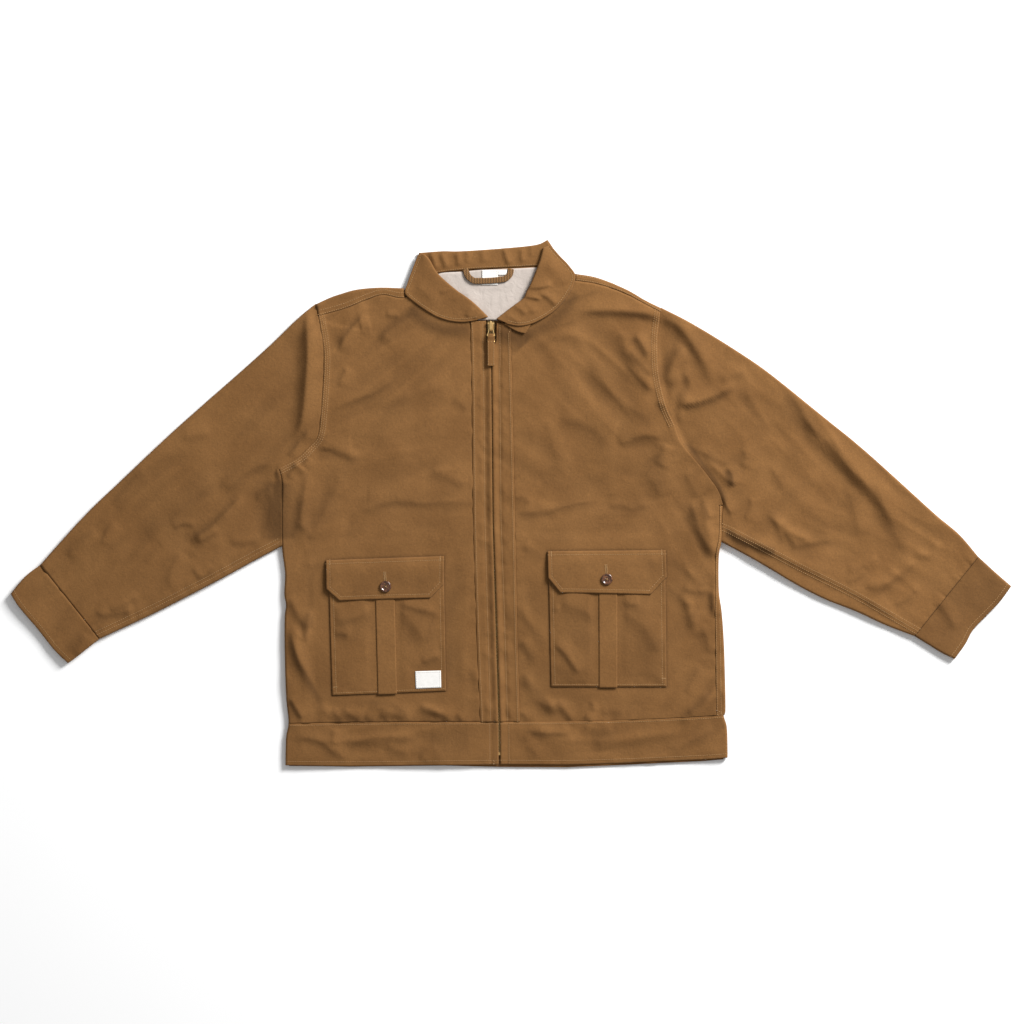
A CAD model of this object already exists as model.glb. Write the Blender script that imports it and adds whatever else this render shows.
# %% [markdown]
# # A zip-front work jacket, laid flat
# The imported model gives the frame. Each piece of cloth is built again here with its real folds, seams,
# stitches and weave, on the same outlines and layers as its solid. Lengths in the tables are millimetres.

# %% load the frame
import math

import bmesh
import bpy
import numpy as np
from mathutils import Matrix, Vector
from mathutils.bvhtree import BVHTree


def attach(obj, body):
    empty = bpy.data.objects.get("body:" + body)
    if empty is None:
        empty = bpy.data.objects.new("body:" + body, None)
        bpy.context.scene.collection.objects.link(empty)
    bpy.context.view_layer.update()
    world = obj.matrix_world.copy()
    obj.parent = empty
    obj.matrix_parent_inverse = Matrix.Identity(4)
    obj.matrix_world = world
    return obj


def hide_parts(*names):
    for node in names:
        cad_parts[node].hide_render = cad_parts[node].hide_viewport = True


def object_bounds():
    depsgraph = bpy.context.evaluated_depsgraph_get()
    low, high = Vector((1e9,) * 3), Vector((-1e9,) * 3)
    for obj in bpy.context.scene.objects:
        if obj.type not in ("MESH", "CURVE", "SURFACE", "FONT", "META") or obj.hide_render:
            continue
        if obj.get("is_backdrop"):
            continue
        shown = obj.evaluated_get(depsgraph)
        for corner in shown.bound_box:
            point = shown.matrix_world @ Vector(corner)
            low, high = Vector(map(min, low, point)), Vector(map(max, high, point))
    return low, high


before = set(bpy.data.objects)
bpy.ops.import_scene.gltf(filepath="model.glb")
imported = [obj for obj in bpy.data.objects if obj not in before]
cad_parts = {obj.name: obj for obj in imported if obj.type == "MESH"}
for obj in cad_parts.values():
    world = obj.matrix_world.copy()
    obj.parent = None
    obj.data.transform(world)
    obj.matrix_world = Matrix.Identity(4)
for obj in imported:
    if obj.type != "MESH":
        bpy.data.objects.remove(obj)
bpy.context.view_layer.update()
MM = 0.001

# %% [markdown]
# The tables of the jacket: walls, heights of the layers, outlines, folds and pockets. Left and right are as
# seen from the front, and x and y are millimetres in the CAD frame.

# %% walls, layers and outlines
# Walls and gaps
CLOTH = 1.6  # shell cloth with its lining
DOUBLE = 2.2  # waistband and cuffs, folded double
BAND = 1.8  # zip facing bands
TRIM = 1.4  # collar, pockets and flaps
THIN = 1.0  # neck lining, tapes and pleats
LABEL = 0.7
GAP = 0.3  # between pieces that are sewn to each other

# Heights of the layers above the surface
FRONT_REST = 5.6  # top of a front where it lies flat
NECK_REST = 6.8  # the same where collar and lining are under and over it
POCKET_REST = 6.0  # the flat place that carries a pocket
LOWEST_TOP = 4.2  # the deepest trough of an upper layer
SIDE_PUFF = 2.0  # how much a fold at the side stands up
PUFF_REACH = 42.0
UNDERARM_RISE = 1.4  # how much more it stands up under the left armpit
UNDERARM_REACH = 26
HOLLOW_FROM = 0.15  # unevenness below this stays flat on the surface
HOLLOW_MOST = 0.9
ZIP_CALM = 0.85  # how much of a fold the zip holds flat
ZIP_REACH = 38.0
ROLL = 3.2  # reach of the roll at a folded side
TAIL = 1.5  # how far a rolled side goes on along the surface

# Collar stack
BACK_LIFT = 1.8  # how far the back is lifted by it
STAND_TOP = 5.0
LEAF_UNDER = 5.4  # underside of the part of a leaf that stands on the neck seam
STAND_DEPTH = 18.0
NECK_CLEAR = 4.6  # from the end of that part to the neck edge of a front, with the roll of the fold

# Outlines, each a row of (x, y)
SIDES = {
    "left": ((-335, 50), (-330, 27), (-331, -12), (-330, -62), (-325.5, -100), (-326.5, -130), (-324, -147),
             (-326, -164), (-326, -214), (-324, -277), (-320.5, -315), (-324, -337), (-325, -376)),
    "right": ((305, -2), (304, -48), (299.5, -76), (299.5, -126), (303, -152), (305.5, -181), (307.5, -222),
              (309, -296), (306.5, -306), (311, -323), (312, -362), (311, -367)),
}
ARMHOLES = {
    "left": ((-281, 287), (-275, 258), (-269.5, 221), (-269.5, 186), (-273.5, 129), (-278, 98), (-290, 82),
             (-308, 65), (-335, 50)),
    "right": ((216, 281.5), (211.5, 245), (211, 224), (213, 185), (223, 142), (235, 114), (246, 86),
              (275, 50), (297, 20), (305, -2)),
}
SHOULDERS = {
    "left": ((-281, 287), (-262, 296), (-248, 301), (-223, 308), (-190, 311), (-154, 310)),
    "right": ((92, 331), (125, 325), (165, 309), (193, 293), (216, 281.5)),
}
SHOULDER_SEAMS = {
    "left": ((-278, 270), (-239, 281), (-207, 294), (-184, 300.5), (-156, 296), (-130, 308)),
    "right": ((64, 327), (94, 321), (125, 316), (161, 304), (190, 289), (214.5, 276)),
}
RIGHT_SIDE_SEAM = ((300, -2), (299, -48), (294.5, -76), (294.3, -126), (293.5, -152), (294, -181),
                   (294.5, -222), (295.5, -296), (297, -306))
BACK_NECK = ((-154, 310), (-128, 322), (-105, 331), (-73, 335), (-42, 337.5), (6, 339.5), (39, 341),
             (66, 338), (92, 331))
WAIST_SEAM = ((-326, -318), (-72, -315.5), (-28, -314.5), (-7, -315.5), (120, -313), (222, -311),
              (309, -305))
WAIST_CURVE = np.polyfit(*zip(*WAIST_SEAM), 3)
FRONT_HEM = ((-325, -377), (-232, -378), (-95, -376.5), (-28, -376), (-16, -375.5), (80, -376), (154, -374),
             (278, -368.5), (312, -366))
BACK_HEM = ((-325, -378), (-232, -379), (-95, -377.5), (-16, -379.5), (80, -380), (154, -377), (278, -371),
            (312, -368))
BAND_SEAMS = {
    "left": ((-58, 251), (-56, 155), (-54, -24), (-49, -192), (-44, -314)),
    "right": ((-1, 251), (1.5, 155), (5.5, -24), (9, -192), (12.5, -314)),
}
ZIP_LINE = ((-28.5, 262), (-28, 197), (-26, -24), (-22, -150), (-17, -315), (-16.5, -378))

# Half of the opening between the bands: wide around the slider, then almost closed
ZIP_OPENING = ((8.0, 262), (7.2, 234), (2.0, 224), (0.55, 190), (0.6, -24), (1.1, -150), (1.3, -378))

# Sleeves and cuffs: upper and lower outline from the armhole to the cuff's mouth
SLEEVE_UPPER = {
    "left": ((-281.5, 287.5), (-303, 270.5), (-331, 243), (-380, 198), (-428, 156), (-494, 97), (-567, 28),
             (-608, -11), (-644, -50), (-678, -88.5)),
    "right": ((216.5, 282), (263, 258), (314, 227), (358, 198), (392, 172), (443.5, 130), (497, 87),
              (539, 50), (625, -28), (646, -45), (673, -76.5)),
}
SLEEVE_LOWER = {
    "left": ((-331, -62), (-369, -82), (-423, -111.5), (-479, -140.5), (-515.5, -159), (-556, -178),
             (-592.5, -195)),
    "right": ((304, -56), (335, -72.5), (368.5, -91.5), (412, -117.5), (453.5, -138.5), (497, -155.5),
              (539, -175), (581, -191)),
}
CUFF_UPPER = {
    "left": ((-678, -88.5), (-692, -98.5), (-704, -109.5), (-720.5, -130)),
    "right": ((673, -76.5), (697, -98.5), (720.5, -119)),
}
CUFF_LOWER = {
    "left": ((-592.5, -195), (-611, -209.5), (-625.5, -221), (-638, -230)),
    "right": ((581, -191), (602, -204), (620, -215), (638.5, -224)),
}
CUFF_MOUTH = {
    "left": ((-720.5, -130), (-708.5, -149), (-681, -181.5), (-658.5, -210), (-638, -230)),
    "right": ((720.5, -119), (703.5, -142), (685.5, -161), (665.5, -182), (654.5, -202), (638.5, -224)),
}

# Seams under the sleeves, from the armhole to the cuff
UNDERARM = {
    "left": ((-332, -50), (-369, -70), (-423, -100), (-479, -129), (-556, -167), (-596, -184)),
    "right": ((302, -28), (320, -36), (362, -58), (417, -87), (500, -129), (590, -181)),
}

# Collar leaves, from the back corner to the tip: x and y of the fold, x and y of the outer edge,
# heights of the edge and the fold
LEAVES = {
    "left": (
        (-124, 359, -134, 358, 7.2, 9.6),
        (-117, 351, -141, 340, 6.8, 10.6),
        (-105, 331, -149, 318, 7.6, 11.0),
        (-92, 318.5, -153, 303, 8.8, 11.0),
        (-78, 307, -141, 291, 9.0, 11.0),
        (-67, 299.5, -123, 278, 9.0, 11.0),
        (-57, 292, -105, 268, 9.0, 11.0),
        (-48, 284, -86, 262.5, 9.0, 11.0),
        (-40, 276, -67, 261.5, 9.4, 11.0),
        (-33, 269, -50, 264, 9.8, 11.0),
    ),
    "right": (
        (46, 368, 57, 372, 7.2, 9.6),
        (42.5, 354, 69, 358, 6.8, 10.6),
        (38, 341, 84, 342, 7.6, 11.0),
        (33, 328, 92.5, 329, 8.8, 11.0),
        (28, 316, 90, 314, 9.0, 11.0),
        (22, 305, 81, 298, 9.0, 11.0),
        (18, 296, 67, 281, 9.2, 11.0),
        (7, 287.5, 47.5, 267, 10.8, 11.4),
        (-5, 278.5, 29.5, 258.5, 11.6, 11.6),
        (-14, 271.5, 12, 255.5, 11.6, 11.6),
        (-21, 266, -4, 258.5, 11.6, 11.6),
    ),
}
COLLAR_TOP = ((-133, 361), (-99, 363.5), (-72, 363.5), (-13, 367.5), (35, 372.5), (53, 379.9))
COLLAR_SEAM = ((-128, 322.5), (-105, 331.5), (-73, 335.5), (-42, 338), (6, 340), (39, 341.5), (66, 338.5))
COLLAR_FALL = ((-146, 311), (-120, 307), (-70, 307), (-10, 309), (50, 314), (86, 329))

# Folds of the upper layer: route, reach on its left, reach on its right, height (troughs are below zero)
FOLDS = (
    # left armhole, and the sleeve beside it
    (((-286, 282), (-293, 262), (-292, 217), (-294, 181), (-300, 122), (-312, 88)), 55, 5, 5.0),
    (((-305, 255), (-308, 217), (-310, 181), (-317, 122), (-326, 100)), 9, 16, -1.6),
    (((-356, 20), (-356, -10), (-352, -52)), 14, 16, -1.4),
    (((-312, 62), (-296, 43)), 5, 6, 2.4),
    # left front
    (((-247, 226), (-235, 262), (-206, 288)), 12, 6, 2.2),
    (((-290, 66), (-240, 82), (-182, 96)), 12, 14, -1.4),
    (((-262, 40), (-205, 62), (-140, 78)), 20, 18, 1.8),
    (((-222, 4), (-150, 6), (-64, 2)), 14, 12, -1.5),
    (((-306, 32), (-300, -20), (-292, -86)), 10, 8, 1.4),
    (((-320, -172), (-303, -192), (-294, -182), (-290, -150)), 7, 7, 2.4),
    (((-318, -180), (-304, -232), (-290, -264), (-270, -296), (-240, -312)), 9, 7, 2.2),
    (((-206, -284), (-172, -300), (-140, -312)), 7, 7, 2.4),
    (((-132, -290), (-98, -304)), 6, 6, 2.0),
    # right front
    (((96, 275), (136, 274), (176, 272.5), (217, 267), (244, 255), (272, 215), (296, 172)), 14, 7, 2.5),
    (((140, 268), (176, 266), (217, 259), (240, 243), (268, 204), (290, 160)), 8, 12, -1.1),
    (((178, 246), (190, 224), (203, 200)), 8, 6, 1.6),
    (((160, 234), (178, 200), (205, 164)), 10, 7, 1.6),
    (((108, 226), (134, 166), (172, 134)), 18, 20, -1.6),
    (((60, 205), (104, 150), (160, 110), (212, 96)), 20, 20, 2.2),
    (((96, 122), (158, 84), (216, 88)), 14, 12, -1.5),
    (((12, 8), (90, 6), (200, 8)), 14, 12, -1.5),
    (((208, 262), (208, 224), (211, 184), (221, 142), (233, 114), (244, 86), (273, 50), (295, 20),
     (303, -2)), 5, 38, 3.6),
    (((274, 6), (284, -38), (294, -80)), 8, 8, 2.4),
    (((228, -124), (254, -150), (262, -182)), 8, 8, 2.6),
    (((280, -112), (290, -166)), 7, 7, -1.4),
    (((254, -306), (272, -288), (286, -272)), 7, 6, 2.6),
    (((12, -246), (38, -276), (66, -304)), 12, 8, 1.8),
    (((14, -196), (42, -220)), 8, 7, 1.8),
    # right sleeve
    (((232, 118), (230, 152), (238, 176), (250, 190)), 8, 7, 2.6),
    (((243, 112), (244, 150), (252, 170)), 7, 6, 2.2),
    (((238, 138), (278, 148), (326, 171)), 7, 12, 2.4),
    (((345, 162), (372, 118), (390, 80)), 14, 18, -2.0),
    (((404, 138), (446, 100), (490, 50), (520, 20), (560, -40)), 16, 9, 3.2),
    (((390, 130), (432, 92), (476, 42), (506, 10), (535, -20), (572, -72)), 11, 18, -1.5),
    (((380, 30), (424, 0), (470, -46)), 20, 18, 2.0),
    (((278, 66), (304, 42), (326, 24)), 7, 7, 2.6),
    (((372, -16), (398, -38), (436, -56)), 8, 7, 2.6),
    (((482, -98), (508, -90), (530, -76)), 8, 8, 2.2),
    (((508, -122), (540, -112), (558, -94)), 8, 7, 2.2),
    (((578, -70), (602, -74), (616, -52)), 7, 7, 2.0),
    (((312, -34), (360, -60), (417, -88), (500, -130), (586, -180)), 26, 4, 2.6),
    # left sleeve
    (((-464, -58), (-432, -32), (-398, -6)), 12, 9, 1.8),
    (((-466, -78), (-438, -60), (-410, -54)), 9, 9, 1.5),
    (((-606, -152), (-578, -160), (-548, -156)), 9, 9, -1.4),
    (((-420, 120), (-480, 60), (-560, -20), (-610, -80)), 24, 28, 1.4),
    # waistband
    (((-300, -338), (-230, -344), (-130, -338)), 8, 7, 1.4),
    (((30, -336), (110, -342), (200, -336), (270, -330)), 8, 7, 1.4),
)

# Flat places on the fronts, one under each pocket: centre, half width, half height, resting height
FLAT_PLACES = (
    (-181, -176, 98, 108, POCKET_REST),
    (138, -166, 100, 108, POCKET_REST),
)
FADE = 20.0  # how far a fold takes to fade out beside a flat place
NECK_CENTRE = (-30, 318)
NECK_REACH = (142, 74)

# Pockets: corners of the bag from the upper left round, outline of the flap, pleat, centre of the button
POCKETS = {
    "left": {
        "bag": ((-263, -90), (-257.5, -276.5), (-93.5, -270), (-97, -86)),
        "flap": ((-266.5, -81.5), (-266, -123), (-247, -140), (-182, -137.5), (-116, -136), (-97, -116),
                 (-96.5, -75.5)),
        "pleat": ((-195.5, -120), (-191.5, -275.2), (-164.2, -274.2), (-168, -119)),
        "button": (-180.5, -119.5),
    },
    "right": {
        "bag": ((53.5, -76), (57.5, -264), (224, -264), (222, -76)),
        "flap": ((52.5, -68.5), (53.5, -107), (71, -128.5), (138, -129.5), (201, -131), (224, -106),
                 (222.5, -67)),
        "pleat": ((126.5, -112), (127, -265.2), (153, -265.2), (153, -112)),
        "button": (138, -109),
    },
}
BUTTON_HOLE_RADIUS = 1.0
BUTTON_HOLE_SPREAD = 2.0
POCKET_LABEL = ((-138, -241.5), (-137, -266.5), (-100.5, -265), (-101, -240.5))

# Zip pull: the hinge is the puller's cross bar under the slider's bridge
HINGE = (-28.8, 259.5, 9.8)
TAB_WALL = 0.8
print("outlines of", len(POCKETS), "pockets,", len(FOLDS), "folds")

# %% [markdown]
# The camera looks straight down through a long lens. The floor is plain and pale, and the light is soft and
# comes mostly from the upper right.

# %% camera, floor and light
# Lengths in metres; the sensor is in millimetres
CENTRE = (0.00144, -0.01224)
CAMERA_HEIGHT = 8.0
VIEW_WIDTH = 1.4746
SENSOR = 36.0
FARTHEST = 50
GARMENT_MIDDLE = 0.006
FLOOR_REACH = 9.0
FLOOR_Z = -0.0004  # just under what rests on it
FLOOR_WHITE = 0.95


def add_camera():
    data = bpy.data.cameras.new("camera")
    data.sensor_width = SENSOR
    data.lens = SENSOR * CAMERA_HEIGHT / VIEW_WIDTH
    data.clip_end = FARTHEST
    camera = bpy.data.objects.new("camera", data)
    camera.location = (*CENTRE, CAMERA_HEIGHT + GARMENT_MIDDLE)
    bpy.context.scene.collection.objects.link(camera)
    bpy.context.scene.camera = camera


def add_light(name, place, size, watts):
    data = bpy.data.lights.new(name, "AREA")
    data.size = size
    data.energy = watts
    lamp = bpy.data.objects.new(name, data)
    lamp.location = place
    lamp.rotation_euler = (-Vector(place)).to_track_quat("-Z", "Y").to_euler()
    bpy.context.scene.collection.objects.link(lamp)


def add_floor():
    mesh = bpy.data.meshes.new("floor")
    corners = [(x * FLOOR_REACH, y * FLOOR_REACH, 0) for x, y in ((-1, -1), (1, -1), (1, 1), (-1, 1))]
    mesh.from_pydata(corners, [], [(0, 1, 2, 3)])
    floor = bpy.data.objects.new("floor", mesh)
    floor.location.z = FLOOR_Z
    bpy.context.scene.collection.objects.link(floor)
    paint = bpy.data.materials.new("floor")
    paint.use_nodes = True
    shader = paint.node_tree.nodes["Principled BSDF"]
    shader.inputs["Base Color"].default_value = (FLOOR_WHITE, FLOOR_WHITE, FLOOR_WHITE, 1)
    shader.inputs["Roughness"].default_value = 0.9
    mesh.materials.append(paint)
    floor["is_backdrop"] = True


add_camera()
add_floor()
add_light("key", place=(2.7, 2.7, 2.15), size=1.6, watts=398)
world = bpy.data.worlds.new("studio")
bpy.context.scene.world = world
world.use_nodes = True
sky = world.node_tree.nodes["Background"]
sky.inputs["Color"].default_value = (1, 1, 1, 1)
sky.inputs["Strength"].default_value = 0.42
bpy.context.scene.view_settings.view_transform = "Standard"

# %% [markdown]
# Curves and patches: the outlines are smooth lines through the tables' points, and a piece is a grid filled
# in between four of them.

# %% curves and patches
SIGN = {"left": -1, "right": 1}
ARC = np.radians(np.linspace(15, 165, 11))  # the turn of a folded edge


def smooth(points, steps=12):
    """A Catmull-Rom curve through the points, as a dense polyline."""
    p = np.array(points, float)
    if len(p) < 3:
        return p
    ends = np.vstack([2 * p[0] - p[1], p, 2 * p[-1] - p[-2]])
    t = np.linspace(0, 1, steps, endpoint=False)[:, None]
    line = []
    for a, b, c, d in zip(ends, ends[1:], ends[2:], ends[3:]):
        line.append(0.5 * (2 * b + (c - a) * t + (2 * a - 5 * b + 4 * c - d) * t**2
                           + (3 * b - a - 3 * c + d) * t**3))
    return np.vstack(line + [p[-1:]])


def lengths(line):
    return np.concatenate([[0], np.cumsum(np.linalg.norm(np.diff(line[:, :2], axis=0), axis=1))])


def shares(line):
    """The share of its length at each point of a line."""
    along = lengths(line)
    return along / along[-1]


def at(line, t):
    """Points at the shares t of a polyline's length."""
    share = shares(line)
    return np.stack([np.interp(t, share, line[:, k]) for k in range(line.shape[1])], axis=-1)


def beside(line, distance):
    """The polyline moved sideways, to its left where distance is above zero."""
    step = np.gradient(line[:, :2], axis=0)
    step /= np.linalg.norm(step, axis=1, keepdims=True)
    moved = line.copy()
    moved[:, 0] -= step[:, 1] * distance
    moved[:, 1] += step[:, 0] * distance
    return moved


def at_same(line, moved, where):
    """Points on a moved line at the shares of the line it came from."""
    share = shares(line)
    return np.stack([np.interp(where, share, moved[:, k]) for k in range(2)], axis=-1)


def x_of(points, y):
    p = np.asarray(points, float)
    p = p[np.argsort(p[:, 1])]
    return np.interp(y, p[:, 1], p[:, 0])


def y_of(points, x):
    p = np.asarray(points, float)
    p = p[np.argsort(p[:, 0])]
    return np.interp(x, p[:, 0], p[:, 1])


def waist_y(x):
    return np.polyval(WAIST_CURVE, x)


def ease(t):
    t = np.clip(t, 0, 1)
    return t * t * (3 - 2 * t)


def between(points, low, high):
    """The part of an upright outline between two values of y."""
    line = smooth(points)
    order = line[np.argsort(line[:, 1])]
    inside = order[(order[:, 1] > low) & (order[:, 1] < high)]
    ends = [np.array([np.interp(w, order[:, 1], order[:, 0]), w]) for w in (low, high)]
    return np.vstack([ends[:1], inside, ends[1:]])


def spaced(start, end, step):
    """Even places about one step apart."""
    return np.linspace(start, end, max(2, int(round(abs(end - start) / step)) + 1))


def even(points, step, curved=True):
    """Points about one step apart along an outline."""
    line = smooth(points) if curved else np.array(points, float)
    return at(line, spaced(0, 1, step / lengths(line)[-1]))


def patch(bottom, top, left, right):
    """A grid filled in between four edges given as points (a Coons patch)."""
    u = (shares(bottom) + shares(top))[None, :, None] / 2
    v = (shares(left) + shares(right))[:, None, None] / 2
    low, high = bottom[None], top[None]
    low_corners = (1 - u) * (1 - v) * low[:, :1] + u * (1 - v) * low[:, -1:]
    high_corners = (1 - u) * v * high[:, :1] + u * v * high[:, -1:]
    sides = (1 - u) * left[:, None] + u * right[:, None]
    return (1 - v) * low + v * high + sides - low_corners - high_corners


def spline(values, knots, where):
    """A smooth curve through the rows of values at the knots, read at the places where."""
    values = np.asarray(values, float)
    shape = (-1,) + (1,) * (values.ndim - 1)
    h = np.diff(knots).reshape(shape)
    slope = np.diff(values, axis=0) / h
    tangent = np.empty_like(values)
    tangent[1:-1] = (slope[:-1] * h[1:] + slope[1:] * h[:-1]) / (h[1:] + h[:-1])
    tangent[0], tangent[-1] = slope[0], slope[-1]
    k = np.clip(np.searchsorted(knots, where, side="right") - 1, 0, len(knots) - 2)
    hk = h.reshape(-1)[k].reshape(shape)
    t = ((where - np.asarray(knots)[k]) / h.reshape(-1)[k]).reshape(shape)
    a, b = values[k], values[k + 1]
    return ((2 * t**3 - 3 * t**2 + 1) * a + (t**3 - 2 * t**2 + t) * hk * tangent[k]
            + (3 * t**2 - 2 * t**3) * b + (t**3 - t**2) * hk * tangent[k + 1])


def to_stretch(x, y, start, end):
    """Distance to a straight stretch and the share of its length, for each place."""
    dx, dy = end[0] - start[0], end[1] - start[1]
    t = np.clip(((x - start[0]) * dx + (y - start[1]) * dy) / (dx * dx + dy * dy), 0, 1)
    return np.hypot(x - start[0] - t * dx, y - start[1] - t * dy), t


def nearest(x, y, route):
    """Signed distance to a route, left above zero, and the share of its length."""
    line = smooth(route, 5)
    along = lengths(line)
    best = np.full(np.shape(x), 1e9)
    side = np.zeros(np.shape(x))
    share = np.zeros(np.shape(x))
    for start, end, before, after in zip(line, line[1:], along, along[1:]):
        d, t = to_stretch(x, y, start, end)
        closer = d < best
        best = np.where(closer, d, best)
        turn = (end[0] - start[0]) * (y - start[1]) - (end[1] - start[1]) * (x - start[0])
        side = np.where(closer, np.sign(turn), side)
        share = np.where(closer, (before + t * (after - before)) / along[-1], share)
    return best * side, share


def edge_distance(x, y, corners):
    """Distance to the nearest side of an open outline."""
    return np.min([to_stretch(x, y, start, end)[0] for start, end in zip(corners, corners[1:])], axis=0)


def close_to(x, y, points, reach):
    """Which places lie within reach of the box round some points."""
    p = np.array(points)
    return ((x > p[:, 0].min() - reach) & (x < p[:, 0].max() + reach)
            & (y > p[:, 1].min() - reach) & (y < p[:, 1].max() + reach))


def swell(distance, middle, reach):
    """1 at the middle, fading away over the reach on both sides."""
    return np.exp(-((distance - middle) / reach) ** 2)


def beyond(distance, reach):
    """1 at a seam, fading away from it, with a flatter start than swell's."""
    return np.exp(-(abs(distance) / reach) ** 1.5)


# %% [markdown]
# Heights of the cloth: broad folds from the shared table, finer creases from a second one, soft unevenness
# everywhere, and puckers that fade away from each seam.

# %% unevenness
LATTICES = {}
LATTICE = 97  # cells before a lattice repeats
FOLD_ENDS = 5.5  # how steeply a fold begins and ends along its route
SHADE_ENDS = 14
FOLD_REST = 5.0  # the narrowest reach of a broad fold
FINE_REST = 2.0  # the same for a fine crease


def rough(x, y, size, seed):
    """Smooth unevenness with bumps about one size across, from about -1 to 1."""
    if seed not in LATTICES:
        LATTICES[seed] = np.random.default_rng(seed).standard_normal((LATTICE, LATTICE)) * 0.9
    lattice = LATTICES[seed]
    x, y = np.broadcast_arrays(x, y)
    u, v = x / size + 7.3 * seed, y / size + 3.1 * seed
    i, j = np.floor(u).astype(int), np.floor(v).astype(int)
    fu, fv = u - i, v - j

    def weights(f):
        middle = (3 * f**3 - 6 * f**2 + 4) / 6
        return (1 - f)**3 / 6, middle, (-3 * f**3 + 3 * f**2 + 3 * f + 1) / 6, f**3 / 6

    total = np.zeros(np.shape(x))
    for a, wa in enumerate(weights(fu)):
        for b, wb in enumerate(weights(fv)):
            total += wa * wb * lattice[(i + a) % LATTICE, (j + b) % LATTICE]
    return total * 1.6


def uneven(x, y, *layers):
    """Unevenness in layers, each a row of height, size of the bumps and seed."""
    return sum(height * rough(x, y, size, seed) for height, size, seed in layers)


def creases(x, y, table, narrowest=FINE_REST):
    """The heights of a table's folds, each with a sharp crest and soft feet."""
    total = np.zeros(np.shape(x))
    for route, left, right, height in table:
        near = close_to(x, y, route, 3 * max(left, right, narrowest))
        if near.any():
            d, share = nearest(x[near], y[near], route)
            wide = np.maximum(np.where(d > 0, left, right), narrowest)
            fade = ease(share * (1 - share) * FOLD_ENDS)
            total[near] += height * np.exp(-(abs(d) / wide) ** 1.7) * fade
    return total


def flatness(x, y):
    """1 on a flat place, 0 away from it, with the flat place's height."""
    share = np.zeros(np.shape(x))
    height = np.full(np.shape(x), FRONT_REST)
    for cx, cy, half_x, half_y, rest in FLAT_PLACES:
        d = np.maximum(abs(x - cx) - half_x, abs(y - cy) - half_y)
        here = 1 - ease(d / FADE)
        height = np.where(here > share, rest, height)
        share = np.maximum(share, here)
    d = np.hypot((x - NECK_CENTRE[0]) / NECK_REACH[0], (y - NECK_CENTRE[1]) / NECK_REACH[1])
    here = 1 - ease((d - 1) * 4)
    height = np.where(here > share, NECK_REST, height)
    return np.maximum(share, here), height


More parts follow.
